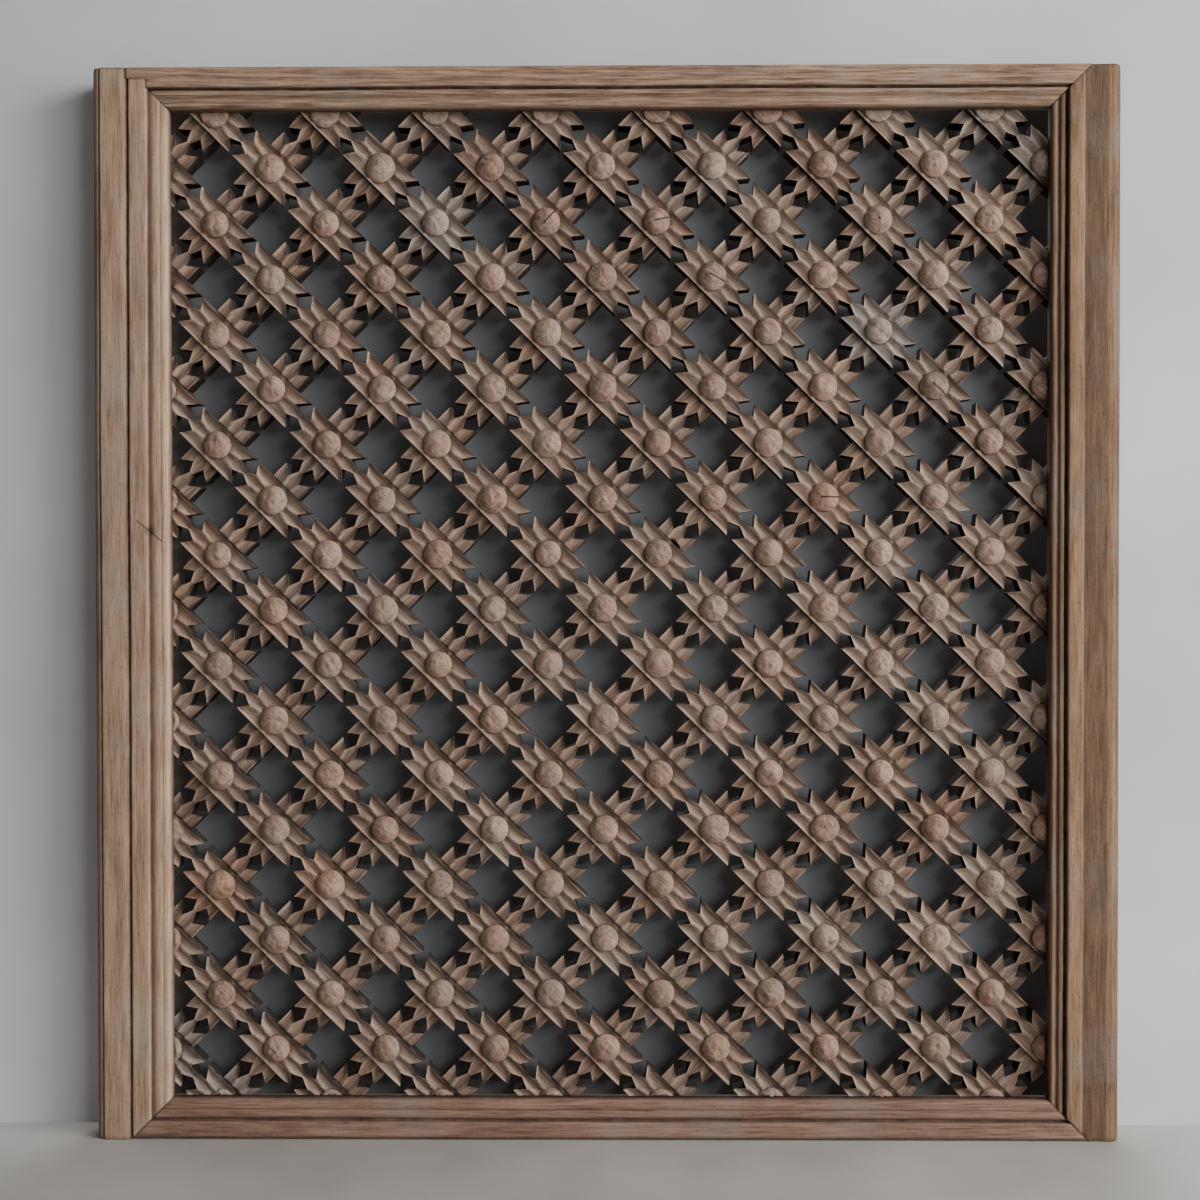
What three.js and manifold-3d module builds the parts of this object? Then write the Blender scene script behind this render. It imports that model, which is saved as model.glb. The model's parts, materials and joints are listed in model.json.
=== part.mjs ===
// Carved lattice window screen.
//
// A moulded softwood frame holds two layers of diagonal slats. The slats are pierced and carved so
// that every crossing reads as a twelve-petalled flower with a round boss.
//
// Millimetres. The screen stands upright: X to the right, Z up, the front towards -Y, with the
// origin in the middle of the underside. Everything is drawn flat first, on a board plane with x to
// the right, y up and z out of the back plane, and with 0, 0 in the middle of the opening. The last
// group stands that board up.

import * as THREE from 'three';
import { mergeVertices } from 'three/addons/utils/BufferGeometryUtils.js';
import { ConvexGeometry } from 'three/addons/geometries/ConvexGeometry.js';
import Module from 'manifold-3d';

// Frame
const FRAME_WIDTH = 955;
const FRAME_HEIGHT = 1000;
const FRAME_DEPTH = 42;
const LEFT_STRIP_WIDTH = 32; // flat outer strip of each stile
const RIGHT_STRIP_WIDTH = 27;
const STRIP_ROUND_WIDTH = 6; // worn outer corner of the strip, across the face
const STRIP_ROUND_DEPTH = 6; // and down the side
const JOINT_GAP = 0.3; // between neighbouring pieces of wood

// Moulding, from the opening outwards. A sink is measured down from the front face.
const BEAD_WIDTH = 9.6;
const BEAD_SINK = 1.4;
const QUIRK_WIDTH = 2.4; // groove beside the bead
const QUIRK_SINK = 5.4;
const FILLET_WIDTH = 6.2; // flat between the two grooves
const FILLET_SINK = 2.6;
const GROOVE_WIDTH = 1.8; // groove beside the band
const GROOVE_SINK = 5;
const BAND_WIDTH = 15.2; // plain band outside the grooves
const PARTING_WIDTH = 2.8; // shallow groove between band and strip
const PARTING_SINK = 2.2;
const WALL_LEAN = 0.5; // how far each groove wall leans back
const ARRIS = 1.2; // softened corners of the band

// Lip and rebate
const LIP_DEPTH = 15; // wood in front of the lattice
const REBATE_WIDTH = 8; // how far the lattice runs in behind the lip

// Corner joint at the upper left, where the rail's outer band runs over the end of the stile's band
const LAP_HEIGHT = 10.5;

// Lattice
const PITCH = 73.3; // between parallel slats
const SLAT_WIDTH = 32.4;
const LATTICE_ANGLE = 45.22; // degrees, back slats above level; front slats are square to them
const LATTICE_SHIFT_X = -4.9; // middle flower from the middle of the opening
const LATTICE_SHIFT_Y = -3.1;
const FRONT_SLAT_THICKNESS = 19.4;
const BACK_SLAT_SETBACK = 5; // face of the back slats behind the face of the front slats

// Petal openings, measured from the middle between two flowers
const PETAL_TIP_GAP = 4.8; // between the tips of facing outer petals
const NECK_WIDTH = 3.2; // wood left where the middle petals of two flowers meet
const CROTCH_SPREAD = 12.4; // across a middle petal where it parts from the outer ones
const NOTCH_LENGTH = 20.6; // along the slat, between the partings of two flowers

// Bosses
const BOSS_RADIUS = 12.7;
const BOSS_CROWN_RADIUS = 8.2;
const BOSS_HEIGHT = 6;
const BOSS_ROOT = 2; // how deep a boss is let into its slat before joining
const BOSS_SIDES = 8;
const CROWN_SIDES = 4;
const BOSS_EDGE = 2; // a boss that shows less than this inside the opening is left out
const HEAD_SHAVE = 8; // bosses of the top row are pared away this far below the lip
const MISSING_BOSS = { front: -6, back: -2 }; // slat numbers of the broken flower at the left edge

const BEAD_STEPS = 4;
const OVERCUT = 5; // cutting shapes reach this far past what they cut

// Colours of the weathered wood
const STILE_COLOUR = 0x9c8168;
const RAIL_COLOUR = 0x947a63;
const FRONT_SLAT_COLOUR = 0x93806f;
const BACK_SLAT_COLOUR = 0x857463;

const wasm = await Module();
wasm.setup();

const rad = THREE.MathUtils.degToRad;
const mouldingWidth = BEAD_WIDTH + QUIRK_WIDTH + FILLET_WIDTH + GROOVE_WIDTH + BAND_WIDTH
  + PARTING_WIDTH;
const openingHalfWidth = (FRAME_WIDTH - LEFT_STRIP_WIDTH - RIGHT_STRIP_WIDTH) / 2 - mouldingWidth;
const openingHalfHeight = FRAME_HEIGHT / 2 - mouldingWidth;
const lipBack = FRAME_DEPTH - LIP_DEPTH;
const frontSlatFace = lipBack - JOINT_GAP;
const frontSlatBack = frontSlatFace - FRONT_SLAT_THICKNESS;
const backSlatFace = frontSlatFace - BACK_SLAT_SETBACK;
const trenchFloor = frontSlatBack - JOINT_GAP;

// Solids

function toSolid(geometry) {
  const bare = geometry.clone();
  bare.deleteAttribute('normal');
  bare.deleteAttribute('uv');
  const merged = mergeVertices(bare, 1e-4);
  return new wasm.Manifold(new wasm.Mesh({
    numProp: 3,
    vertProperties: new Float32Array(merged.attributes.position.array),
    triVerts: new Uint32Array(merged.index.array),
  }));
}

function toGeometry(solid) {
  const { vertProperties, triVerts } = solid.getMesh();
  const geometry = new THREE.BufferGeometry();
  geometry.setAttribute('position', new THREE.BufferAttribute(vertProperties, 3));
  geometry.setIndex(new THREE.BufferAttribute(triVerts, 1));
  geometry.computeVertexNormals();
  return geometry;
}

function prism(points, fromZ, toZ) {
  const shape = new THREE.Shape(points.map(([x, y]) => new THREE.Vector2(x, y)));
  const geometry = new THREE.ExtrudeGeometry(shape, { depth: toZ - fromZ, bevelEnabled: false });
  return geometry.translate(0, 0, fromZ);
}

function rectangle(halfWidth, halfHeight) {
  return [
    [-halfWidth, -halfHeight], [halfWidth, -halfHeight],
    [halfWidth, halfHeight], [-halfWidth, halfHeight],
  ];
}

function woodMesh(name, geometry, colour) {
  const material = new THREE.MeshStandardMaterial({ color: colour, roughness: 0.9, metalness: 0 });
  const mesh = new THREE.Mesh(geometry, material);
  mesh.name = name;
  return mesh;
}

// Frame members. A profile point is [distance out from the opening, height above the back plane],
// and a joint point is [distance out from the opening to the side, the same upwards or downwards].

const grooveEnd = BEAD_WIDTH + QUIRK_WIDTH + FILLET_WIDTH + GROOVE_WIDTH;

function innerProfile() {
  const quirkEnd = BEAD_WIDTH + QUIRK_WIDTH;
  const filletEnd = quirkEnd + FILLET_WIDTH;
  const quirkFloor = FRAME_DEPTH - QUIRK_SINK;
  const points = [[0, lipBack]];
  for (let step = 0; step <= BEAD_STEPS; step += 1) {
    const angle = Math.PI * step / BEAD_STEPS;
    points.push([
      BEAD_WIDTH / 2 * (1 - Math.cos(angle)),
      quirkFloor + (QUIRK_SINK - BEAD_SINK) * Math.sin(angle),
    ]);
  }
  points.push(
    [quirkEnd - WALL_LEAN, quirkFloor],
    [quirkEnd, FRAME_DEPTH - FILLET_SINK],
    [filletEnd, FRAME_DEPTH - FILLET_SINK],
    [filletEnd + WALL_LEAN, FRAME_DEPTH - GROOVE_SINK],
    [grooveEnd - WALL_LEAN, FRAME_DEPTH - GROOVE_SINK],
    [grooveEnd, FRAME_DEPTH - ARRIS],
    [grooveEnd + ARRIS, FRAME_DEPTH],
  );
  return points;
}

function stileProfile(stileWidth) {
  const bandEnd = grooveEnd + BAND_WIDTH;
  const roundCut = 1 - Math.SQRT1_2;
  return [
    ...innerProfile(),
    [bandEnd, FRAME_DEPTH],
    [bandEnd + WALL_LEAN, FRAME_DEPTH - PARTING_SINK],
    [mouldingWidth - WALL_LEAN, FRAME_DEPTH - PARTING_SINK],
    [mouldingWidth, FRAME_DEPTH],
    [stileWidth - STRIP_ROUND_WIDTH, FRAME_DEPTH],
    [stileWidth - STRIP_ROUND_WIDTH * roundCut, FRAME_DEPTH - STRIP_ROUND_DEPTH * roundCut],
    [stileWidth, FRAME_DEPTH - STRIP_ROUND_DEPTH],
    [stileWidth, 0],
    [REBATE_WIDTH, 0],
    [REBATE_WIDTH, lipBack],
  ];
}

function railProfile() {
  return [
    ...innerProfile(),
    [mouldingWidth - ARRIS, FRAME_DEPTH],
    [mouldingWidth, FRAME_DEPTH - ARRIS],
    [mouldingWidth, 0],
    [REBATE_WIDTH, 0],
    [REBATE_WIDTH, lipBack],
  ];
}

function jointLine(lapped) {
  const bandFoot = mouldingWidth - LAP_HEIGHT;
  const turns = lapped
    ? [[grooveEnd, grooveEnd], [grooveEnd, bandFoot], [mouldingWidth, bandFoot]]
    : [[mouldingWidth, mouldingWidth]];
  return [[-OVERCUT, -OVERCUT], ...turns, [mouldingWidth, mouldingWidth + OVERCUT]];
}

function cutToPlan(bar, plan) {
  return toSolid(bar).intersect(toSolid(prism(plan, -OVERCUT, FRAME_DEPTH + OVERCUT)));
}

function bar(section, length) {
  const shape = new THREE.Shape(section.map(([a, b]) => new THREE.Vector2(a, b)));
  return new THREE.ExtrudeGeometry(shape, { depth: length, bevelEnabled: false });
}

// side is -1 on the left and 1 on the right.
function stile(side, stripWidth, lappedHead) {
  const stileWidth = mouldingWidth + stripWidth;
  const section = stileProfile(stileWidth).map(([out, z]) => [side * (openingHalfWidth + out), z]);
  const upright = bar(section, FRAME_HEIGHT)
    .rotateX(Math.PI / 2)
    .translate(0, FRAME_HEIGHT / 2, 0);
  const place = (up) => ([out, rise]) => [
    side * (openingHalfWidth + out), up * (openingHalfHeight + rise),
  ];
  const corner = [stileWidth + OVERCUT, mouldingWidth + OVERCUT];
  return cutToPlan(upright, [
    ...jointLine(lappedHead).map(place(1)),
    place(1)(corner),
    place(-1)(corner),
    ...jointLine(false).map(place(-1)).reverse(),
  ]);
}

// side is -1 at the bottom and 1 at the top.
function rail(side, lappedLeft) {
  const section = railProfile().map(([out, z]) => [side * (openingHalfHeight + out), z]);
  const alongX = new THREE.Matrix4().makeBasis(
    new THREE.Vector3(0, 1, 0), new THREE.Vector3(0, 0, 1), new THREE.Vector3(1, 0, 0),
  );
  const halfLength = openingHalfWidth + mouldingWidth;
  const level = bar(section, 2 * halfLength)
    .applyMatrix4(alongX)
    .translate(-halfLength, 0, 0);
  const place = (across) => ([out, rise]) => [
    across * (openingHalfWidth + out - JOINT_GAP), side * (openingHalfHeight + rise + JOINT_GAP),
  ];
  return cutToPlan(level, [
    ...jointLine(lappedLeft).map(place(-1)),
    ...jointLine(false).map(place(1)).reverse(),
  ]);
}

// Lattice. A front slat runs down to the right and a back slat up to the right. The flower where
// front slat i crosses back slat j is i pitches up to the right and j pitches down to the right
// from the middle flower. In a slat's own frame x runs along it, with 0 at the flower it shares
// with slat 0 of the other layer.

const direction = (degrees) => new THREE.Vector2(Math.cos(rad(degrees)), Math.sin(rad(degrees)));
const upRight = direction(LATTICE_ANGLE);
const downRight = direction(LATTICE_ANGLE - 90);
const latticeCentre = new THREE.Vector2(LATTICE_SHIFT_X, LATTICE_SHIFT_Y);
const latticeHalfWidth = openingHalfWidth + REBATE_WIDTH - JOINT_GAP;
const latticeHalfHeight = openingHalfHeight + REBATE_WIDTH - JOINT_GAP;
const cellCount = Math.ceil(Math.hypot(latticeHalfWidth, latticeHalfHeight) / PITCH) + 1;

function flowerAt(front, back) {
  return latticeCentre.clone()
    .addScaledVector(upRight, front * PITCH)
    .addScaledVector(downRight, back * PITCH);
}

// Numbers of the slats that cross the rebated opening, counted from the middle flower.
function slatNumbers(across) {
  const reaches = rectangle(latticeHalfWidth, latticeHalfHeight)
    .map(([x, y]) => new THREE.Vector2(x, y).sub(latticeCentre).dot(across));
  const first = Math.ceil((Math.min(...reaches) + SLAT_WIDTH / 2) / PITCH);
  const last = Math.floor((Math.max(...reaches) - SLAT_WIDTH / 2) / PITCH);
  return Array.from({ length: last - first + 1 }, (_, index) => first + index);
}

// A slat's plan: straight edges beside each flower, and between two flowers a kite-shaped notch
// from either side, which leaves a narrow neck where the points of the middle petals meet.
function petalPlan() {
  const edge = [[-cellCount * PITCH, SLAT_WIDTH / 2]];
  for (let cell = -cellCount; cell < cellCount; cell += 1) {
    const middle = (cell + 0.5) * PITCH;
    edge.push(
      [middle - PETAL_TIP_GAP / 2, SLAT_WIDTH / 2],
      [middle - NOTCH_LENGTH / 2, CROTCH_SPREAD / 2],
      [middle, NECK_WIDTH / 2],
      [middle + NOTCH_LENGTH / 2, CROTCH_SPREAD / 2],
      [middle + PETAL_TIP_GAP / 2, SLAT_WIDTH / 2],
    );
  }
  edge.push([cellCount * PITCH, SLAT_WIDTH / 2]);
  return [...edge.map(([x, y]) => [x, -y]), ...edge.reverse()];
}

function trench(position) {
  const halfWidth = SLAT_WIDTH / 2 + JOINT_GAP;
  const block = prism(
    rectangle(halfWidth, SLAT_WIDTH / 2 + OVERCUT), trenchFloor, backSlatFace + OVERCUT,
  );
  return toSolid(block.translate(position, 0, 0));
}

// A low button: a round foot let into the slat, and a crown with fewer corners than the foot.
function boss(position) {
  const ring = (sides, radius, z) => Array.from({ length: sides }, (_, side) => {
    const angle = 2 * Math.PI * (side + 0.5) / sides;
    return new THREE.Vector3(radius * Math.cos(angle), radius * Math.sin(angle), z);
  });
  const button = new ConvexGeometry([
    ...ring(BOSS_SIDES, BOSS_RADIUS, -BOSS_ROOT),
    ...ring(BOSS_SIDES, BOSS_RADIUS, 0),
    ...ring(CROWN_SIDES, BOSS_CROWN_RADIUS, BOSS_HEIGHT),
  ]);
  return toSolid(button.translate(position, 0, frontSlatFace));
}

function placeSlat(solid, angle, origin) {
  const toBoard = new THREE.Matrix4()
    .makeRotationZ(rad(angle))
    .setPosition(origin.x, origin.y, 0);
  return solid.transform(toBoard.toArray());
}

// Trims a slat to the rebate. Crumbs of petal that the trim cuts free at the ends are left out.
function trimToRebate(solid) {
  const rebate = prism(rectangle(latticeHalfWidth, latticeHalfHeight), -OVERCUT, FRAME_DEPTH);
  const pieces = solid.intersect(toSolid(rebate)).decompose();
  return pieces.reduce((best, piece) => (piece.volume() > best.volume() ? piece : best));
}

function bossWindow() {
  const clearWidth = openingHalfWidth - JOINT_GAP;
  const foot = -(openingHalfHeight - JOINT_GAP);
  const head = openingHalfHeight - HEAD_SHAVE;
  return toSolid(prism(
    [[-clearWidth, foot], [clearWidth, foot], [clearWidth, head], [-clearWidth, head]],
    0, FRAME_DEPTH,
  ));
}

function frontSlat(number) {
  const angle = LATTICE_ANGLE - 90;
  const origin = flowerAt(number, 0);
  const plank = toSolid(prism(petalPlan(), frontSlatBack, frontSlatFace));
  const slat = trimToRebate(placeSlat(plank, angle, origin));
  const window = bossWindow();
  let carved = slat;
  for (let back = -cellCount; back <= cellCount; back += 1) {
    const { x, y } = flowerAt(number, back);
    const inOpening = Math.abs(x) < openingHalfWidth + BOSS_RADIUS - BOSS_EDGE
      && Math.abs(y) < openingHalfHeight + BOSS_RADIUS - BOSS_EDGE;
    const broken = number === MISSING_BOSS.front && back === MISSING_BOSS.back;
    if (inOpening && !broken) {
      carved = carved.add(placeSlat(boss(back * PITCH), angle, origin).intersect(window));
    }
  }
  return carved;
}

function backSlat(number) {
  const origin = flowerAt(0, number);
  let plank = toSolid(prism(petalPlan(), 0, backSlatFace));
  for (let front = -cellCount; front <= cellCount; front += 1) {
    plank = plank.subtract(trench(front * PITCH));
  }
  return trimToRebate(placeSlat(plank, LATTICE_ANGLE, origin));
}

// Assembly

const board = new THREE.Group();
board.rotation.x = Math.PI / 2;
board.position.set((LEFT_STRIP_WIDTH - RIGHT_STRIP_WIDTH) / 2, FRAME_DEPTH / 2, FRAME_HEIGHT / 2);

board.add(
  woodMesh('left_stile', toGeometry(stile(-1, LEFT_STRIP_WIDTH, true)), STILE_COLOUR),
  woodMesh('right_stile', toGeometry(stile(1, RIGHT_STRIP_WIDTH, false)), STILE_COLOUR),
  woodMesh('top_rail', toGeometry(rail(1, true)), RAIL_COLOUR),
  woodMesh('bottom_rail', toGeometry(rail(-1, false)), RAIL_COLOUR),
);

// A slat is named by its layer and its place from the slat through the middle flower.
function slatName(layer, number) {
  if (number === 0) {
    return `${layer}_slat_middle`;
  }
  const side = (number > 0) === (layer === 'front') ? 'upper' : 'lower';
  return `${layer}_slat_${side}_${Math.abs(number)}`;
}

function addSlats(layer, across, makeSlat, colour) {
  slatNumbers(across).forEach((number) => {
    board.add(woodMesh(slatName(layer, number), toGeometry(makeSlat(number)), colour));
  });
}

addSlats('front', upRight, frontSlat, FRONT_SLAT_COLOUR);
addSlats('back', downRight, backSlat, BACK_SLAT_COLOUR);

const screen = new THREE.Group();
screen.add(board);

export default screen;
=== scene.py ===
"""The looks of a carved lattice window screen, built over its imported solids.

A moulded softwood frame holds two layers of diagonal slats. Every crossing is carved as a
twelve-petalled flower with a round boss. Lengths are in millimetres on a board plane, with x to
the right, y up, z out of the back plane and 0, 0 in the middle of the opening, until they are
turned into the row frame in metres.
"""

from __future__ import annotations

import json
import logging
import math
from dataclasses import dataclass, field
from enum import Enum
from typing import Any, Sequence

import bpy
import numpy as np
from mathutils import Matrix, Vector

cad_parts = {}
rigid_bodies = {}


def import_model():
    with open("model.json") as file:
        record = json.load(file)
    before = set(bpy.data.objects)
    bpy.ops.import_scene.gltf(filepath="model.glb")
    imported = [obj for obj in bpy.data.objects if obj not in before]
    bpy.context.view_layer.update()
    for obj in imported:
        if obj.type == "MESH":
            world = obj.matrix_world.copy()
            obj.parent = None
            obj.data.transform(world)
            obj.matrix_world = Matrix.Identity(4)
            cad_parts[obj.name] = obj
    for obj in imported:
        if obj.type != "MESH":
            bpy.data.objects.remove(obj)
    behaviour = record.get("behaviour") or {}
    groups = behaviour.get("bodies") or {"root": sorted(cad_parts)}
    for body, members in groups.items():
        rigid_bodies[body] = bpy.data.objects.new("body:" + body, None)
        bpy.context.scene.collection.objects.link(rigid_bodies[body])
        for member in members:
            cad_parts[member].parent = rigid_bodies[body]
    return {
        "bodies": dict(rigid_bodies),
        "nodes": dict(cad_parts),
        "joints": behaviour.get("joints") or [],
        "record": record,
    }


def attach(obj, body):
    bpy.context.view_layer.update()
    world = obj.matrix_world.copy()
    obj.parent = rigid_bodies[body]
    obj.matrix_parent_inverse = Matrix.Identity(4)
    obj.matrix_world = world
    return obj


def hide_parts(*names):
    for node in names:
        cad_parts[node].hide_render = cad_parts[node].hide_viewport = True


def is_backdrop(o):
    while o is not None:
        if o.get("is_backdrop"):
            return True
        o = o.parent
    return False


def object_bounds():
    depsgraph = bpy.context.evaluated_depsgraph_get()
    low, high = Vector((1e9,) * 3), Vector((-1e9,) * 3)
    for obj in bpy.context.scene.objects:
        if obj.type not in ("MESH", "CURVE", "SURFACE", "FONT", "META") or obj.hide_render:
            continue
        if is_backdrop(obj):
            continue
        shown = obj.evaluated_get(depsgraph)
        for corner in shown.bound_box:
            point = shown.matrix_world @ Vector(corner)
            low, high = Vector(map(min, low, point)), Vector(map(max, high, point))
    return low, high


LOG = logging.getLogger("window_screen")
Array = np.ndarray
Tree = bpy.types.NodeTree
Socket = bpy.types.NodeSocket

MM = 0.001
BODY = "root"
OPENING_SHIFT = 2.5  # millimetres that the opening's middle lies right of the frame's


# Numbers and noise


def smooth(values: Array) -> Array:
    """An S-shaped step that rises from 0 at 0 to 1 at 1, and stays level beyond."""
    clipped = np.clip(values, 0.0, 1.0)
    return clipped * clipped * (3.0 - 2.0 * clipped)


def hashed(ix: Array, iy: Array, seed: int) -> Array:
    """Repeatable random numbers from 0 to 1 for pairs of whole numbers, one set for each seed."""
    mixed = np.sin(ix * 127.1 + iy * 311.7 + seed * 74.7) * 43758.5453
    return mixed - np.floor(mixed)


def value_noise(x: Array, y: Array, cell: float, seed: int) -> Array:
    """Soft lumps of one size.

    Args:
        x: First coordinates, in millimetres.
        y: Second coordinates, in millimetres.
        cell: Distance between lumps, in millimetres.
        seed: Chooses one of many independent patterns.

    Returns:
        Values from -1 to 1.
    """
    gx, gy = x / cell, y / cell
    ix, iy = np.floor(gx), np.floor(gy)
    fx, fy = smooth(gx - ix), smooth(gy - iy)
    low = hashed(ix, iy, seed) * (1 - fx) + hashed(ix + 1, iy, seed) * fx
    high = hashed(ix, iy + 1, seed) * (1 - fx) + hashed(ix + 1, iy + 1, seed) * fx
    return 2.0 * (low * (1 - fy) + high * fy) - 1.0


def layered_noise(x: Array, y: Array, layers: Sequence[tuple[float, float, float]],
                  seed: int) -> Array:
    """Soft lumps of several sizes; a layer is a share, a cell and how much closer they lie in y."""
    return sum(share * value_noise(x, y * closer, cell, seed + number)
               for number, (share, cell, closer) in enumerate(layers))


# Meshes


FLAT_AREA = 1e-4  # square millimetres; a face that a trim has closed up is left out
FAR = 9.0  # millimetres; no crack or cut ring near
# The groove tone carries soil together with painted shade; the tint tone also carries painted light
# and shade.
TONES = {"groove": 0.0, "tint": 0.0, "warmth": 0.0, "line": FAR}


@dataclass
class MeshParts:
    """Collects grids of vertices and faces, on the board plane, for one piece."""

    points: list[Array] = field(default_factory=list)
    quads: list[Array] = field(default_factory=list)
    smooth_quads: list[Array] = field(default_factory=list)
    tones: dict[str, list[Array]] = field(default_factory=dict)
    count: int = 0

    def add_points(self, points: Array, **tones: Array | float) -> Array:
        """Adds vertices.

        Args:
            points: Board coordinates, shape (..., 3).
            tones: Named surface values for the finish, one number or one per vertex.

        Returns:
            The new vertices' numbers, in the shape of points without its last axis.
        """
        flat = points.reshape(-1, 3)
        numbers = np.arange(self.count, self.count + len(flat))
        self.points.append(flat)
        for name, plain in TONES.items():
            value = np.broadcast_to(
                np.asarray(tones.get(name, plain), float), points.shape[:-1])
            self.tones.setdefault(name, []).append(value.reshape(-1))
        self.count += len(flat)
        return numbers.reshape(points.shape[:-1])

    def add_quads(self, quads: Array, rounded: bool) -> None:
        """Adds faces of four vertices.

        Args:
            quads: Their vertices' numbers, anticlockwise as seen from outside, shape (..., 4).
            rounded: Whether they are shaded smoothly.
        """
        flat = quads.reshape(-1, 4)
        self.quads.append(flat)
        self.smooth_quads.append(np.full(len(flat), rounded))

    def add_sheet(self, points: Array, rounded: bool = True, **tones: Array | float) -> None:
        """Adds a grid of vertices and the faces between them.

        Args:
            points: Board coordinates, shape (rows, columns, 3). Rows cross columns so that the
                face looks the way of column step times row step.
            rounded: Whether the faces are shaded smoothly.
            tones: Named surface values for the finish.
        """
        numbers = self.add_points(points, **tones)
        self.add_quads(np.stack([
            numbers[:-1, :-1], numbers[:-1, 1:], numbers[1:, 1:], numbers[1:, :-1],
        ], axis=-1), rounded)

    def build(self, name: str, board: "Board", finish: bpy.types.Material) -> bpy.types.Object:
        """Makes the Blender object.

        Args:
            name: Name of the piece.
            board: Turns board coordinates into the row frame.
            finish: Material of the whole piece.

        Returns:
            The new object, linked to the scene.
        """
        points = np.concatenate(self.points)
        quads, rounded = np.concatenate(self.quads), np.concatenate(self.smooth_quads)
        corners = points[quads]
        across = np.cross(corners[:, 2] - corners[:, 0], corners[:, 3] - corners[:, 1])
        kept = np.linalg.norm(across, axis=1) > FLAT_AREA
        quads, rounded = quads[kept], rounded[kept]
        used, index = np.unique(quads.ravel(), return_inverse=True)
        mesh = bpy.data.meshes.new(name)
        mesh.vertices.add(len(used))
        mesh.loops.add(len(index))
        mesh.polygons.add(len(quads))
        mesh.vertices.foreach_set("co", board.to_row(points[used]).astype(np.float32).ravel())
        mesh.loops.foreach_set("vertex_index", index.astype(np.int32))
        mesh.polygons.foreach_set("loop_start", (np.arange(len(quads)) * 4).astype(np.int32))
        mesh.update(calc_edges=True)
        mesh.polygons.foreach_set("use_smooth", rounded)
        for tone, values in self.tones.items():
            attribute = mesh.attributes.new(tone, "FLOAT", "POINT")
            attribute.data.foreach_set("value", np.concatenate(values)[used].astype(np.float32))
        mesh.materials.append(finish)
        piece = bpy.data.objects.new(name, mesh)
        bpy.context.scene.collection.objects.link(piece)
        return piece


@dataclass(frozen=True)
class Board:
    """The plane the screen is drawn on, and where it stands in the row frame."""

    half_width: float
    half_height: float
    depth: float
    centre_x: float
    centre_z: float
    front_y: float

    @classmethod
    def from_frame(cls, low: Vector, high: Vector, opening_shift: float) -> "Board":
        """Reads the board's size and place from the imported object's box.

        Args:
            low: Lowest corner of the object, in metres.
            high: Highest corner, in metres.
            opening_shift: How far the opening's middle lies right of the frame's, in millimetres.

        Returns:
            The board.
        """
        return cls(
            half_width=(high.x - low.x) / 2 / MM,
            half_height=(high.z - low.z) / 2 / MM,
            depth=(high.y - low.y) / MM,
            centre_x=(high.x + low.x) / 2 / MM + opening_shift,
            centre_z=(high.z + low.z) / 2 / MM,
            front_y=low.y / MM,
        )

    def to_row(self, points: Array) -> Array:
        """Turns board millimetres into row frame metres.

        Args:
            points: Board coordinates, shape (..., 3).

        Returns:
            Row frame coordinates of the same shape.
        """
        x, y, z = points[..., 0], points[..., 1], points[..., 2]
        return np.stack([
            self.centre_x + x, self.front_y + self.depth - z, self.centre_z + y,
        ], axis=-1) * MM


# Finishes


def linear(code: str) -> tuple[float, float, float, float]:
    """Turns an sRGB hex colour into linear light.

    Args:
        code: Six hex digits, such as "8f7a6b".

    Returns:
        Red, green and blue, with full opacity.
    """
    channels = [int(code[i:i + 2], 16) / 255 for i in (0, 2, 4)]
    red, green, blue = (
        c / 12.92 if c <= 0.04045 else ((c + 0.055) / 1.055) ** 2.4 for c in channels)
    return (red, green, blue, 1.0)


def add_node(
    tree: Tree,
    kind: str,
    settings: dict[str, Any] | None = None,
    inputs: dict[str | int, Any] | None = None,
    stops: Sequence[tuple[float, str]] = (),
    output: str | None = None,
) -> Socket | None:
    """Adds one node with its settings, values and links.

    Args:
        tree: Node tree to add to.
        kind: Blender's name of the node type, without the "ShaderNode" in front.
        settings: Properties of the node itself.
        inputs: A value or another node's output socket for each input, by name or number.
        stops: Places from 0 to 1 with sRGB hex colours, where the node has a colour ramp.
        output: Name of the output to return, where it isn't the first one in use.

    Returns:
        The output socket, or nothing for a node without one.
    """
    node = tree.nodes.new("ShaderNode" + kind)
    for key, value in (settings or {}).items():
        setattr(node, key, value)
    for key, value in (inputs or {}).items():
        if isinstance(value, Socket):
            tree.links.new(value, node.inputs[key])
        else:
            node.inputs[key].default_value = value
    for index, (position, code) in enumerate(stops):
        elements = node.color_ramp.elements
        element = elements[index] if index < len(elements) else elements.new(position)
        element.position = position
        element.color = linear(code)
    if output:
        return node.outputs[output]
    return next((socket for socket in node.outputs if socket.enabled), None)


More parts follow.
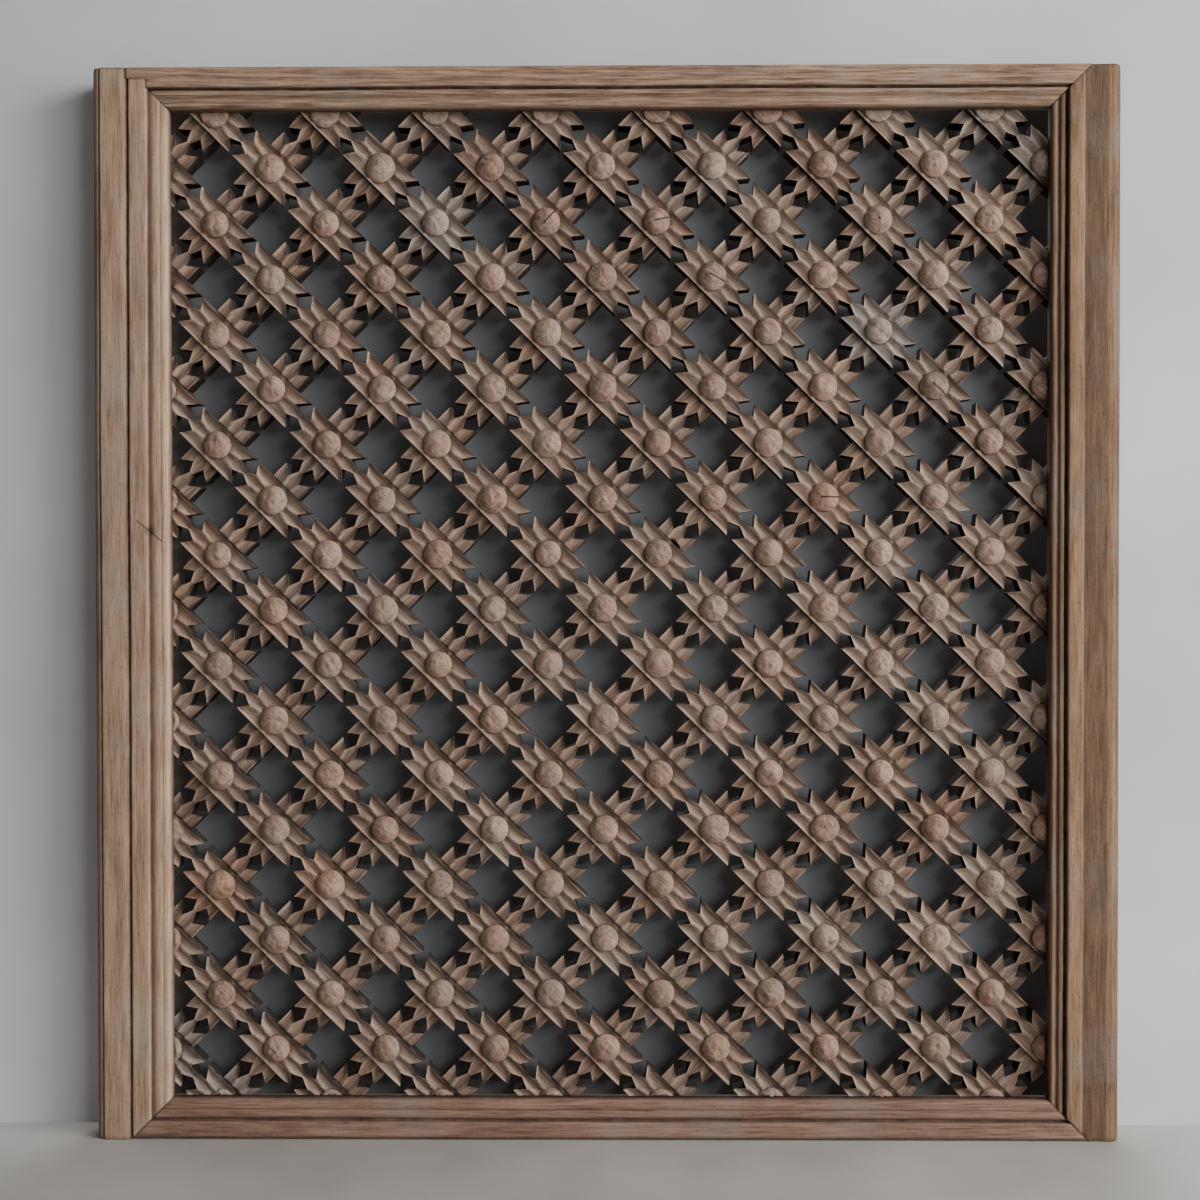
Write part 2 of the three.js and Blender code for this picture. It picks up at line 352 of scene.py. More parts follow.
@dataclass
class Surface:
    """A material while it is built up: its nodes, and its colour so far."""

    name: str
    colour: Socket | None = None
    along: Socket | None = None  # coordinates turned to the grain, where there is one

    def __post_init__(self) -> None:
        """Makes the material, and reads where each point lies on its piece."""
        self.material = bpy.data.materials.new(self.name)
        self.material.use_nodes = True
        self.tree = self.material.node_tree
        self.tree.nodes.clear()
        self.place = add_node(self.tree, "TexCoord", output="Object")

    def mottle(self, scale: float, detail: float, codes: tuple[str, str]) -> None:
        """Colours it in soft clouds.

        Args:
            scale: Clouds to a metre.
            detail: Octaves of finer cloud.
            codes: The two colours it varies between, as sRGB hex.
        """
        cloud = add_node(self.tree, "TexNoise", None,
                         {"Vector": self.place, "Scale": scale, "Detail": detail})
        self.colour = add_node(self.tree, "ValToRGB", None, {"Fac": cloud},
                               ((0.3, codes[0]), (0.7, codes[1])))

    def stain(self, code: str, reach: Socket, near: float, far: float, strength: float) -> None:
        """Lays a colour over the one so far where a value is low, such as near a crack.

        Args:
            code: The colour, as sRGB hex.
            reach: The value.
            near: Where the colour starts to fade out.
            far: Where it is gone.
            strength: Its share where it is strongest.
        """
        share = add_node(
            self.tree, "MapRange", {"interpolation_type": "SMOOTHSTEP"},
            {"Value": reach, "From Min": near, "From Max": far, "To Min": strength,
             "To Max": 0.0})
        self.colour = add_node(self.tree, "Mix", {"data_type": "RGBA"},
                               {"Factor": share, "A": self.colour, "B": linear(code)})


@dataclass(frozen=True)
class Knot:
    """A knot in the wood, in the row frame, in millimetres."""

    x: float
    z: float
    radius: float


@dataclass(frozen=True)
class Check:
    """A drying crack, from one end to the other, in the row frame, in millimetres."""

    start: tuple[float, float]
    end: tuple[float, float]
    width: float = 0.9


BROAD_LINES = 7  # growth lines to one broad streak
BROAD_LENGTH = 60  # its length, in growth lines
LINE_STRETCH = 22  # growth lines are drawn out this many times their spacing
FLECK_STRETCH = 7
KNOCK_SIZE = 1.8  # millimetres; knocks and pores, drawn coarse enough to show
KNOCK_STRETCH = 1.6
KNOCK_LEVELS = (0.30, 0.42)  # of the noise; all of a knock below, none of it above
PATCH_SCALE = 14.0  # cycles per metre; patches of bloom about 70 mm across
SOIL_AND_SHADE_SCALE = 90.0  # cycles per metre; soil and painted shade lie in patches about 11 mm across
LINE_RELIEF = 0.6  # growth lines stand up this much against the fibres
TONES_READ = ("tint", "warmth", "groove", "line")
LINE_REACH = (0.35, 1.15)  # millimetres from the middle of a dark line to its edge
LINE_SHADE = 0.9
KNOT_SHADE = 0.7
CHECK_SHADE = 0.85
CHECK_CORE = 0.3  # share of a crack's width that is fully dark


@dataclass(frozen=True)
class WeatheredFir:
    """Old bare fir, planed or carved by hand and left to weather: matt, with no varnish.

    The eye sees tan wood with fine darker growth lines, greyed high spots, small dark pores and
    knocks, and dust and soot in the grooves, deepened there with painted shade. The colours are the
    light, middle and dark wood, the dark colour for dirt and painted shade, and the grey bloom.
    """

    name: str
    light: str
    middle: str
    dark: str
    dirt_and_shade: str
    bloom: str
    grain_angle: float  # degrees from level, seen from the front
    line_spacing: float  # millimetres between growth lines
    line_strength: float
    bloom_share: float
    speckle: float = 0.3  # strength of the small dark knocks
    fleck_size: float = 0.9  # millimetres; raised fibres, drawn coarse enough to show
    bump_height: float = 0.35  # millimetres
    roughness: float = 0.82
    knots: tuple[Knot, ...] = ()
    checks: tuple[Check, ...] = ()

    def build(self) -> bpy.types.Material:
        """Makes the Blender material.

        Returns:
            The material.
        """
        surface = Surface(self.name)
        tree = surface.tree
        surface.along = add_node(
            tree, "VectorRotate", {"rotation_type": "Y_AXIS"},
            {"Vector": surface.place, "Angle": math.radians(self.grain_angle)})
        lines = self._streaks(surface, self.line_spacing, LINE_STRETCH, 4.0, 1.7)
        fibres = self._streaks(surface, self.fleck_size, FLECK_STRETCH, 2.0, 7.3)
        self._wood(surface, lines)
        self._wear(surface)
        for knot in self.knots:
            place = (knot.x * MM, 0.0, knot.z * MM)
            surface.stain(self.dirt_and_shade, self._reach(surface, place), 0.0, knot.radius * MM,
                          KNOT_SHADE)
        for check in self.checks:
            self._crack(surface, check)
        relief = add_node(tree, "Math", {"operation": "MULTIPLY_ADD"},
                          {0: lines, 1: LINE_RELIEF, 2: fibres})
        normal = add_node(
            tree, "Bump", None,
            {"Strength": 0.7, "Distance": self.bump_height * MM, "Height": relief})
        shader = add_node(
            tree, "BsdfPrincipled", None,
            {"Base Color": surface.colour, "Roughness": self.roughness, "IOR": 1.45,
             "Specular IOR Level": 0.3, "Normal": normal})
        add_node(tree, "OutputMaterial", None, {"Surface": shader})
        return surface.material

    def _streaks(self, surface: Surface, width: float, stretch: float, detail: float,
                 shift: float) -> Socket:
        """Adds noise drawn out along the grain.

        Args:
            surface: The material.
            width: Width of a streak, in millimetres.
            stretch: How many times its width it is long.
            detail: Octaves of finer noise.
            shift: Moves the pattern, so that no two are alike.

        Returns:
            Noise from 0 to 1.
        """
        across = 1 / (width * MM)
        shaped = add_node(
            surface.tree, "Mapping", {"vector_type": "POINT"},
            {"Vector": surface.along, "Location": (shift, shift, shift),
             "Scale": (across / stretch, across, across)})
        return add_node(
            surface.tree, "TexNoise", None,
            {"Vector": shaped, "Scale": 1.0, "Detail": detail, "Roughness": 0.6})

    def _wood(self, surface: Surface, lines: Socket) -> None:
        """Colours the bare wood, with its grey bloom and dark knocks.

        Args:
            surface: The material.
            lines: Noise of the growth lines.
        """
        tree = surface.tree
        broad = self._streaks(
            surface, self.line_spacing * BROAD_LINES, BROAD_LENGTH / BROAD_LINES, 2.0, 4.1)
        stops = ((0.36, self.dark), (0.5, self.middle), (0.64, self.light))
        fine, wide = (add_node(tree, "ValToRGB", None, {"Fac": noise}, stops)
                      for noise in (lines, broad))
        colour = add_node(tree, "Mix", {"data_type": "RGBA"},
                          {"Factor": self.line_strength, "A": wide, "B": fine})
        patches = add_node(
            tree, "TexNoise", None,
            {"Vector": surface.place, "Scale": PATCH_SCALE, "Detail": 5.0, "Roughness": 0.65})
        bloom = add_node(
            tree, "MapRange", None,
            {"Value": patches, "From Min": 0.62 - self.bloom_share * 0.4,
             "From Max": 0.82 - self.bloom_share * 0.3, "To Max": 0.7})
        surface.colour = add_node(tree, "Mix", {"data_type": "RGBA"},
                                  {"Factor": bloom, "A": colour, "B": linear(self.bloom)})
        knocks = self._streaks(surface, KNOCK_SIZE, KNOCK_STRETCH, 3.0, 9.2)
        surface.stain(self.dirt_and_shade, knocks, *KNOCK_LEVELS, self.speckle)

    def _wear(self, surface: Surface) -> None:
        """Applies the mesh's own tones: lightness, with painted light and shade in it, redness,
        soil with painted shade, and dark lines.

        Args:
            surface: The material.
        """
        tree = surface.tree
        tint, warmth, groove, line = (
            add_node(tree, "Attribute", {"attribute_name": name}, output="Fac")
            for name in TONES_READ)
        blotch = add_node(tree, "TexNoise", None,
                          {"Vector": surface.place, "Scale": SOIL_AND_SHADE_SCALE, "Detail": 3.0})
        value, hue, richness, patchy = (
            add_node(tree, "Math", {"operation": "MULTIPLY_ADD"},
                     {0: tone, 1: gain, 2: plain})
            for tone, gain, plain in (
                (tint, 1.0, 1.0), (warmth, -0.008, 0.5), (warmth, 0.22, 1.0), (blotch, 0.9, 0.45)))
        colour = add_node(
            tree, "HueSaturation", None,
            {"Hue": hue, "Saturation": richness, "Value": value, "Color": surface.colour})
        # Groove tone: darkens towards the dark colour, for soil together with painted shade.
        soil_and_shade = add_node(tree, "Math", {"operation": "MULTIPLY", "use_clamp": True},
                        {0: groove, 1: patchy})
        surface.colour = add_node(tree, "Mix", {"data_type": "RGBA"},
                                  {"Factor": soil_and_shade, "A": colour, "B": linear(self.dirt_and_shade)})
        reach = add_node(tree, "Math", {"operation": "ABSOLUTE"}, {0: line})
        surface.stain(self.dirt_and_shade, reach, *LINE_REACH, LINE_SHADE)

    def _reach(self, surface: Surface, place: tuple[float, float, float]) -> Socket:
        """Measures how far each point lies from a place on the piece, seen from the front.

        Args:
            surface: The material.
            place: The place, in metres, with y at 0.

        Returns:
            The distance, in metres.
        """
        flat = add_node(surface.tree, "VectorMath", {"operation": "MULTIPLY"},
                        {0: surface.place, 1: (1.0, 0.0, 1.0)})
        return add_node(surface.tree, "VectorMath", {"operation": "DISTANCE"},
                        {0: flat, 1: place})

    def _crack(self, surface: Surface, check: Check) -> None:
        """Draws a drying crack.

        Args:
            surface: The material.
            check: The crack.
        """
        tree = surface.tree
        run = (Vector(check.end) - Vector(check.start)) * MM
        start = Vector(check.start) * MM
        flat = add_node(
            tree, "VectorMath", {"operation": "MULTIPLY_ADD"},
            {0: surface.place, 1: (1.0, 0.0, 1.0), 2: (-start.x, 0.0, -start.y)})
        share = add_node(
            tree, "VectorMath", {"operation": "DOT_PRODUCT"},
            {0: flat, 1: (run.x / run.length_squared, 0.0, run.y / run.length_squared)})
        share = add_node(tree, "Clamp", None, {"Value": share})
        nearest = add_node(tree, "VectorMath", {"operation": "SCALE"},
                           {0: (run.x, 0.0, run.y), "Scale": share})
        reach = add_node(tree, "VectorMath", {"operation": "DISTANCE"},
                         {0: flat, 1: nearest})
        surface.stain(self.dirt_and_shade, reach, check.width * CHECK_CORE * MM, check.width * MM,
                      CHECK_SHADE)


# Frame


class Side(Enum):
    """The four members of the frame."""

    LEFT = "left_stile"
    RIGHT = "right_stile"
    TOP = "top_rail"
    BOTTOM = "bottom_rail"

    @property
    def upright(self) -> bool:
        """Whether this member is a stile."""
        return self in (Side.LEFT, Side.RIGHT)

    @property
    def sign(self) -> int:
        """Minus one at the left and bottom, one at the right and top."""
        return 1 if self in (Side.RIGHT, Side.TOP) else -1


@dataclass(frozen=True)
class Profile:
    """A member's face as planed and worn, in millimetres.

    Each stop is the distance out from the opening, the depth below the frame's front, and the
    darkening there, from 0 to 1: soil together with painted shade in the grooves. Each lightness
    stop is the distance out and the change of lightness: painted light and shade on the beads, and
    worn tone elsewhere.
    """

    stops: tuple[tuple[float, float, float], ...]
    dents: float  # depth of knocks and tool marks
    painted_light_and_wear: tuple[tuple[float, float], ...] = ((0.0, 0.0),)

    def sample(self, out: Array) -> tuple[Array, Array]:
        """Reads the depth below the front and the soil at distances out from the opening."""
        places, depths, soils_and_shade = np.array(self.stops).T
        return np.interp(out, places, depths), np.interp(out, places, soils_and_shade)


# A worn double bead, a cove and a flat band; then a rounded strip with a bead on its outer edge.
LEFT_PROFILE = Profile((
    (0.0, 5.5, 0.3), (0.8, 3.0, 0.0), (2.2, 1.9, 0.0), (4.0, 1.5, 0.0), (6.2, 1.6, 0.05),
    (6.8, 1.85, 0.12), (7.4, 1.6, 0.0), (10.0, 1.5, 0.0), (13.0, 1.8, 0.0), (15.5, 2.8, 0.15),
    (17.6, 4.1, 0.35), (18.5, 4.4, 0.7), (18.9, 2.4, 0.5), (19.3, 0.9, 0.0), (20.0, 0.4, 0.0),
    (22.0, 0.1, 0.0), (34.6, 0.1, 0.0), (35.6, 0.6, 0.1), (36.1, 2.4, 0.8), (37.3, 2.9, 1.0),
    (38.2, 1.6, 0.5), (40.2, 0.6, 0.1), (43.0, 0.1, 0.0), (61.5, 0.2, 0.0), (62.4, 0.6, 0.3),
    (62.9, 1.7, 0.9), (63.8, 1.8, 0.8), (64.4, 1.4, 0.3), (66.0, 1.9, 0.3), (68.0, 3.4, 0.35),
    (69.4, 5.6, 0.4), (70.0, 8.0, 0.4)), dents=0.25,
    # Lightness stops: painted light on the inner bead, as lit from the right, and a slightly
    # lighter band.
    painted_light_and_wear=((0.0, 0.38), (14.0, 0.38), (18.0, 0.08), (38.0, 0.06), (40.0, 0.0), (70.0, 0.0)))
# A narrow bead, a fillet between two grooves, and a band that stands proud of a battered strip.
RIGHT_PROFILE = Profile((
    (0.0, 5.5, 0.3), (0.6, 3.4, 0.1), (1.6, 2.2, 0.0), (3.2, 1.8, 0.0), (4.6, 2.3, 0.1),
    (5.6, 3.4, 0.5), (6.8, 4.2, 0.75), (8.0, 3.8, 0.6), (8.6, 2.9, 0.25), (9.2, 2.5, 0.05),
    (12.2, 2.5, 0.1), (12.7, 3.4, 0.6), (13.1, 5.4, 1.0), (15.2, 5.4, 1.0), (15.7, 2.0, 0.6),
    (16.2, 0.8, 0.1), (17.2, 0.3, 0.0), (20.0, 0.1, 0.0), (28.6, 0.0, 0.0), (29.8, 0.2, 0.0),
    (30.3, 0.9, 0.1), (30.7, 1.6, 0.4), (32.0, 1.7, 0.25), (45.0, 1.4, 0.1), (50.5, 1.1, 0.05),
    (53.0, 0.6, 0.0), (57.5, 0.4, 0.0), (59.0, 0.9, 0.1), (61.0, 2.0, 0.15), (63.3, 4.0, 0.2),
    (64.5, 6.0, 0.2), (65.0, 8.0, 0.2)), dents=0.55,
    # Lightness stops: painted shade on the inner bead, which faces away from the light, and a
    # darker battered strip and outer edge.
    painted_light_and_wear=((0.0, -0.32), (15.0, -0.32), (16.0, 0.03), (29.0, 0.05), (31.0, -0.38), (50.0, -0.36),
            (53.0, -0.05), (58.0, -0.05), (61.0, -0.3), (65.0, -0.3)))
# A full bead, a fillet and a deep groove, then the flat band.
TOP_PROFILE = Profile((
    (0.0, 5.5, 0.3), (0.8, 3.2, 0.05), (2.2, 1.9, 0.0), (4.2, 1.5, 0.0), (6.5, 1.6, 0.0),
    (8.6, 2.3, 0.1), (9.4, 3.4, 0.45), (10.4, 4.0, 0.55), (12.2, 3.4, 0.4), (12.9, 2.6, 0.1),
    (13.5, 2.4, 0.0), (16.4, 2.4, 0.1), (16.9, 3.4, 0.6), (17.3, 5.2, 1.0), (18.9, 5.2, 1.0),
    (19.3, 2.2, 0.6), (19.8, 0.6, 0.1), (21.0, 0.1, 0.0), (36.6, 0.0, 0.0), (37.5, 0.6, 0.1),
    (38.0, 1.6, 0.2)), dents=0.3)
# A softer profile than the top rail's, with the outer arris worn round and dark.
BOTTOM_PROFILE = Profile((
    (0.0, 5.5, 0.2), (0.8, 3.2, 0.0), (2.2, 1.9, 0.0), (4.5, 1.5, 0.0), (7.5, 1.7, 0.0),
    (8.9, 2.2, 0.1), (9.5, 3.0, 0.5), (10.1, 2.3, 0.1), (12.0, 2.0, 0.0), (15.5, 2.3, 0.05),
    (17.6, 3.4, 0.35), (18.4, 4.6, 0.8), (19.9, 4.6, 0.8), (20.3, 1.6, 0.4), (20.8, 0.5, 0.0),
    (22.0, 0.2, 0.0), (33.0, 0.2, 0.0), (34.5, 0.9, 0.3), (36.4, 2.4, 0.5), (37.6, 4.2, 0.6),
    (38.0, 6.0, 0.6)), dents=0.35)


@dataclass(frozen=True)
class Joinery:
    """Sizes that the four members share, in millimetres."""

    reeded_width: float = 20.0  # from the opening to the band
    moulding_width: float = 38.0  # from the opening to a stile's strip; a rail's whole width
    lip_depth: float = 15.0
    rebate_width: float = 8.0
    lap_height: float = 10.5
    joint_gap: float = 0.3


@dataclass
class MouldedFrame:
    """The frame: two stiles with a flat outer strip, and two rails mitred between them."""

    board: Board
    left_strip: float
    right_strip: float
    joinery: Joinery = Joinery()
    segment: float = 4.6  # millimetres between the mesh's lines across a member
    face_step: float = 1.1  # millimetres between those along it
    wander: float = 0.45  # how far the moulding lines stray from straight
    end_wear: float = 1.7  # depth of the rounding at the ends of the stiles' strips
    mitre_wear: float = 0.3  # the same, at the ends of the mouldings

    @property
    def opening(self) -> tuple[float, float]:
        """The size of the opening.

        Returns:
            Half its width and half its height.
        """
        strips = (self.left_strip + self.right_strip) / 2
        return (self.board.half_width - strips - self.joinery.moulding_width,
                self.board.half_height - self.joinery.moulding_width)

    def build(self, dress: dict[Side, "MemberDress"]) -> list[bpy.types.Object]:
        """Makes the four members, each with its own profile and finish."""
        return [self._member(side, dress[side]) for side in Side]

    def _reach(self, side: Side, out: Array, end: int) -> Array:
        """How far a member runs past the opening's corner, at each distance out from it.

        Args:
            side: Which member.
            out: Distances out from the opening.
            end: 1 for the upper or right end, -1 for the other.

        Returns:
            Distances of the same shape.
        """
        join = self.joinery
        lapped = (side is Side.LEFT and end == 1) or (side is Side.TOP and end == -1)
        reeded, foot = join.reeded_width, join.moulding_width - join.lap_height
        if side.upright:
            plain = np.minimum(out, join.moulding_width)
            if not lapped:
                return plain
            return np.where(
                out < reeded, out,
                np.where(out < join.moulding_width, foot, join.moulding_width))
        if not lapped:
            return out - join.joint_gap
        over = np.where(out < reeded, out, np.where(out < foot, reeded, join.moulding_width))
        return over - join.joint_gap

    def _section(self, side: Side, profile: Profile) -> tuple[Array, Array, Array]:
        """The closed section of a member.

        Args:
            side: Which member.
            profile: Its face.

        Returns:
            Distances out from the opening, heights above the back plane, and darkening for soil and
            painted shade.
        """
        join, depth = self.joinery, self.board.depth
        stops = np.array(profile.stops)[:, 0]
        width = stops[-1]
        steps = [np.linspace(a, b, max(2, math.ceil((b - a) / self.face_step) + 1))
                 for a, b in zip(stops[:-1], stops[1:])]
        jumps = (join.reeded_width, join.moulding_width - join.lap_height, join.moulding_width)
        steps.append(np.array([j + s for j in jumps for s in (-JUMP, JUMP) if j + s < width]))
        out = np.unique(np.concatenate(steps))
        sink, soil_and_shade = profile.sample(out)
        side_steps = np.linspace(depth - sink[-1], 0, 6)[1:]
        back = np.array([j + s for j in jumps[::-1] for s in (JUMP, -JUMP)])
        back = np.concatenate([back[back < width], [join.rebate_width]])
        lip_back = depth - join.lip_depth
        return (
            np.concatenate([out, np.full(len(side_steps), width), back,
                            [join.rebate_width, 0.0]]),
            np.concatenate([depth - sink, side_steps, np.zeros(len(back)),
                            [lip_back, lip_back]]),
            np.concatenate([soil_and_shade, np.full(len(side_steps) + len(back), BACK_DARKENING),
                            [LIP_DARKENING, LIP_DARKENING]]))

    def _member(self, side: Side, dress: "MemberDress") -> bpy.types.Object:
        """Makes one member.

        Args:
            side: Which member.
            dress: Its profile and finish.

        Returns:
            The new object.
        """
        half_width, half_height = self.opening
        out, height, soil_and_shade = self._section(side, dress.profile)
        near, half_length = (half_width, half_height) if side.upright else (half_height, half_width)
        low = -(half_length + self._reach(side, out, -1))
        high = half_length + self._reach(side, out, 1)
        share = np.linspace(0, 1, int(2 * half_length / self.segment) + 1)
        joint = np.array(JOINT_LINES) / (2 * half_length)
        share = np.sort(np.concatenate([share, joint, 1 - joint]))[:, None]
        along = low * (1 - share) + high * share
        out_grid = np.broadcast_to(out, along.shape)
        seed, face_points = SIDE_SEED[side], int(np.argmax(out)) + 1
        on_face = np.arange(len(out)) < face_points
        free = smooth(out / HELD_INSIDE) * smooth((out.max() - out) / HELD_OUTSIDE) * on_face
        stray = self.wander * layered_noise(along, out_grid, STRAY_NOISE, seed + 3)
        worn = layered_noise(along, out_grid, KNOCK_NOISE, seed)
        height_grid = height - dress.profile.dents * (1 + worn) * on_face
        end = np.minimum(share, 1 - share) * 2 * half_length
        wear = np.where(out > self.joinery.moulding_width, self.end_wear, self.mitre_wear)
        height_grid = height_grid - wear * on_face * (1 - smooth(end / WEAR_REACH))
        position = side.sign * (near + out_grid + stray * free)
        points = np.stack(
            [position, along, height_grid] if side.upright else [along, position, height_grid],
            axis=-1)
        points = np.concatenate([points, points[:, :1]], axis=1)
        soiled_and_shaded = np.maximum(
            np.append(soil_and_shade, soil_and_shade[0]), JOINT_SOIL * (1 - smooth(end / JOINT_SOIL_REACH)))
        # Lightness across the member: painted light and shade on the beads, and worn tone.
        painted_light_and_wear = np.interp(np.append(out, out[0]), *np.array(dress.profile.painted_light_and_wear).T)
        tint = painted_light_and_wear + TINT_CHANGE * value_noise(
            points[..., 0], points[..., 1], TINT_PATCH, seed + 2)
        parts = MeshParts()
        turned = (side.sign == 1) != side.upright
        if turned:
            points, soiled_and_shaded, tint = points[:, ::-1], soiled_and_shaded[:, ::-1], tint[:, ::-1]
        parts.add_sheet(points, groove=soiled_and_shaded, tint=tint)
        faces = points[:, ::-1][:, 1:] if turned else points
        self._caps(parts, side, faces[(0, -1), :face_points], out)
        return parts.build(side.value + "_wood", self.board, dress.finish.build())

    def _caps(self, parts: MeshParts, side: Side, faces: Array, out: Array) -> None:
        """Closes both ends of a member, following the steps of its joints.

        Args:
            parts: Mesh to add to.
            side: Which member.
            faces: The face's line at the low and the high end, shape (2, points, 3).
            out: Distances out from the opening, of at least as many points.
        """
        back = faces.copy()
        lip_back = self.board.depth - self.joinery.lip_depth
        back[..., 2] = np.where(out[:faces.shape[1]] < self.joinery.rebate_width, lip_back, 0.0)
        looks_high = (side.sign == 1) == side.upright
        for end, (front, rear) in enumerate(zip(faces, back)):
            rows = [front, rear] if looks_high == (end == 1) else [rear, front]
            parts.add_sheet(np.stack(rows), rounded=False, tint=END_GRAIN_TINT, groove=0.3)


@dataclass(frozen=True)
class MemberDress:
    """Profile and finish of one member."""

    profile: Profile
    finish: WeatheredFir


JUMP = 0.02  # millimetres either side of a step in a joint
# How much the members' backs and outer sides, and the rebate under the lip with the lip's inner
# side, are darkened.
BACK_DARKENING = 0.25
LIP_DARKENING = 0.8
END_GRAIN_TINT = -0.12
JOINT_LINES = (0.5, 1.6, 3.0)  # millimetres from a joint to the mesh's first lines
HELD_INSIDE = 3.0  # millimetres next to the opening where the moulding lines run true
HELD_OUTSIDE = 4.0  # the same, next to the outer edge
STRAY_NOISE = ((0.7, 140.0, 0.0), (0.3, 31.0, 1.0))
KNOCK_NOISE = ((0.5, 38.0, 1.5), (0.5, 11.0, 1.8))
WEAR_REACH = 3.6  # millimetres from a joint
JOINT_SOIL = 0.8
JOINT_SOIL_REACH = 1.6  # millimetres from a joint
TINT_CHANGE = 0.06
TINT_PATCH = 130.0  # millimetres between lighter and darker stretches of a member
SIDE_SEED = {Side.LEFT: 11, Side.RIGHT: 23, Side.TOP: 37, Side.BOTTOM: 41}


# Lattice


class Layer(Enum):
    """The two layers of slats."""

    FRONT = "front_slat"
    BACK = "back_slat"


class BossMark(Enum):
    """What age or the carver left on a boss."""

    NONE = "none"
    RING = "ring"
    SPLIT = "split"
    DOT = "dot"


@dataclass(frozen=True)
class FlowerLook:
    """How one flower differs from its neighbours."""

    mark: BossMark = BossMark.NONE
    tint: float = 0.0
    warmth: float = 0.0
    split_angle: float = 0.0  # degrees from the slat's run


@dataclass(frozen=True)
class PetalPlan:
    """Outline and relief of the petals along a slat, in millimetres and degrees."""

    pitch: float = 73.3
    slat_width: float = 32.4
    tip_gap: float = 4.8  # between the tips of facing outer petals
    neck_width: float = 3.2
    crotch_half_width: float = 6.2  # where the middle petal parts from the outer ones
    crotch_reach: float = 10.3  # from the middle between two flowers
    jitter: float = 1.1  # spread of the carver's error in the outline
    scoop: float = 0.6  # how deep a gouge has hollowed each petal between its rims
    rim: float = 0.1  # share of a half petal that is left as a rim
    hollow_power: float = 2.4  # how flat the hollow's floor is
    edge_power: float = 3.4  # the same, on the side of an outer petal along the slat's edge
    crown_low: float = 0.6  # height beside the boss, as a share of the petals' full height
    crown_start: float = 12.0  # petals rise from here, out from the flower's middle
    crown_end: float = 20.0
    droop: float = 0.25  # share of the height that is lost at the tips
    droop_start: float = 29.0
    droop_length: float = 8.65
    parting_shade_and_soil: float = 0.6  # painted shade and soil where two petals meet, from 0 to 1
    # Darkening in the petals' hollows and round the boss's foot, from 0 to 1: soil together with
    # painted shade.
    hollow_shade_and_soil: float = 0.22
    boss_shade_and_soil: float = 0.42
    boss_foot: float = 12.4  # radius where the soil round the boss starts to fade
    boss_fade: float = 3.2

    @property
    def crotch(self) -> float:
        """Distance of the parting of the petals from the flower's middle."""
        return self.pitch / 2 - self.crotch_reach

    @property
    def tip(self) -> float:
        """Distance of the outer petals' tips from the flower's middle, along the slat."""
        return (self.pitch - self.tip_gap) / 2

    def rows(self) -> Array:
        """Lines along a slat that its mesh follows: the neck, the crotches and the edges.

        Returns:
            Distances across the slat, in order.
        """
        neck, crotch, edge = self.neck_width / 2, self.crotch_half_width, self.slat_width / 2
        half = np.concatenate([
            [neck], np.linspace(neck, crotch, 5)[1:],
            np.linspace(crotch, edge - EDGE_STRIP, 8)[1:], [edge]])
        return np.concatenate([-half[::-1], [0.0], half])

    def half_length(self, across: Array, sway: Array, spread: Array) -> Array:
        """How far the wood runs from a flower's middle, at each distance across the slat.

        Args:
            across: Distances from the slat's middle line.
            sway: Hand-cut error at the crotch.
            spread: Hand-cut error at the outer tip.

        Returns:
            Distances along the slat, never over half a pitch.
        """
        reach = np.abs(across)
        neck, edge, parting = self.neck_width / 2, self.slat_width / 2, self.crotch_half_width
        crotch = self.crotch + sway * self.jitter
        tip = self.tip + (spread - 0.5) * self.jitter
        inner = np.clip((reach - neck) / (parting - neck), 0, 1)
        outer = np.clip((reach - parting) / (edge - parting), 0, 1)
        return np.where(
            reach <= parting,
            self.pitch / 2 + (crotch - self.pitch / 2) * inner,
            crotch + (tip - crotch) * outer)

    def relief(self, along: Array, across: Array, twist: float) -> tuple[Array, Array, Array]:
        """Carved surface of one flower's petals.

        Args:
            along: Distances from the flower's middle, along the slat.
            across: Distances from the slat's middle line.
            twist: Carver's error in the petals' direction, in degrees.

        Returns:
            Height, 1 at the slat's face and less in the hollows, darkening from 0 to 1 for soil and
            painted shade, and the number of the petal each point belongs to.
        """
        x, y = np.abs(along), np.abs(across)
        reach = np.hypot(x, y)
        angle = np.degrees(np.arctan2(y, np.maximum(x, 1e-6))) + twist * np.sign(along * across)
        parting = math.degrees(math.atan2(self.crotch_half_width, self.crotch))
        parting_reach = math.hypot(self.crotch_half_width, self.crotch)
        edge = self.slat_width / 2
        tip_reach = math.hypot(self.tip, edge)
        tip_angle = math.degrees(math.atan2(edge, self.tip))

        narrowing = np.clip((x - self.crotch) / self.crotch_reach, 0, 1)
        middle_half = np.where(
            x < self.crotch, x * math.tan(math.radians(parting)),
            self.crotch_half_width + (self.neck_width / 2 - self.crotch_half_width) * narrowing)
        in_middle = np.where(reach < parting_reach, angle < parting, y <= middle_half)
        middle = y / np.maximum(middle_half, 0.3)

        inner = np.where(
            reach < parting_reach, parting,
            parting + (tip_angle - parting) * np.clip(
                (reach - parting_reach) / (tip_reach - parting_reach), 0, 1))
        outer = np.degrees(np.arcsin(np.clip(edge / np.maximum(reach, 1), 0, 1)))
        half = np.maximum((outer - inner) / 2, 0.4)
        flank = (angle - (inner + outer) / 2) / half

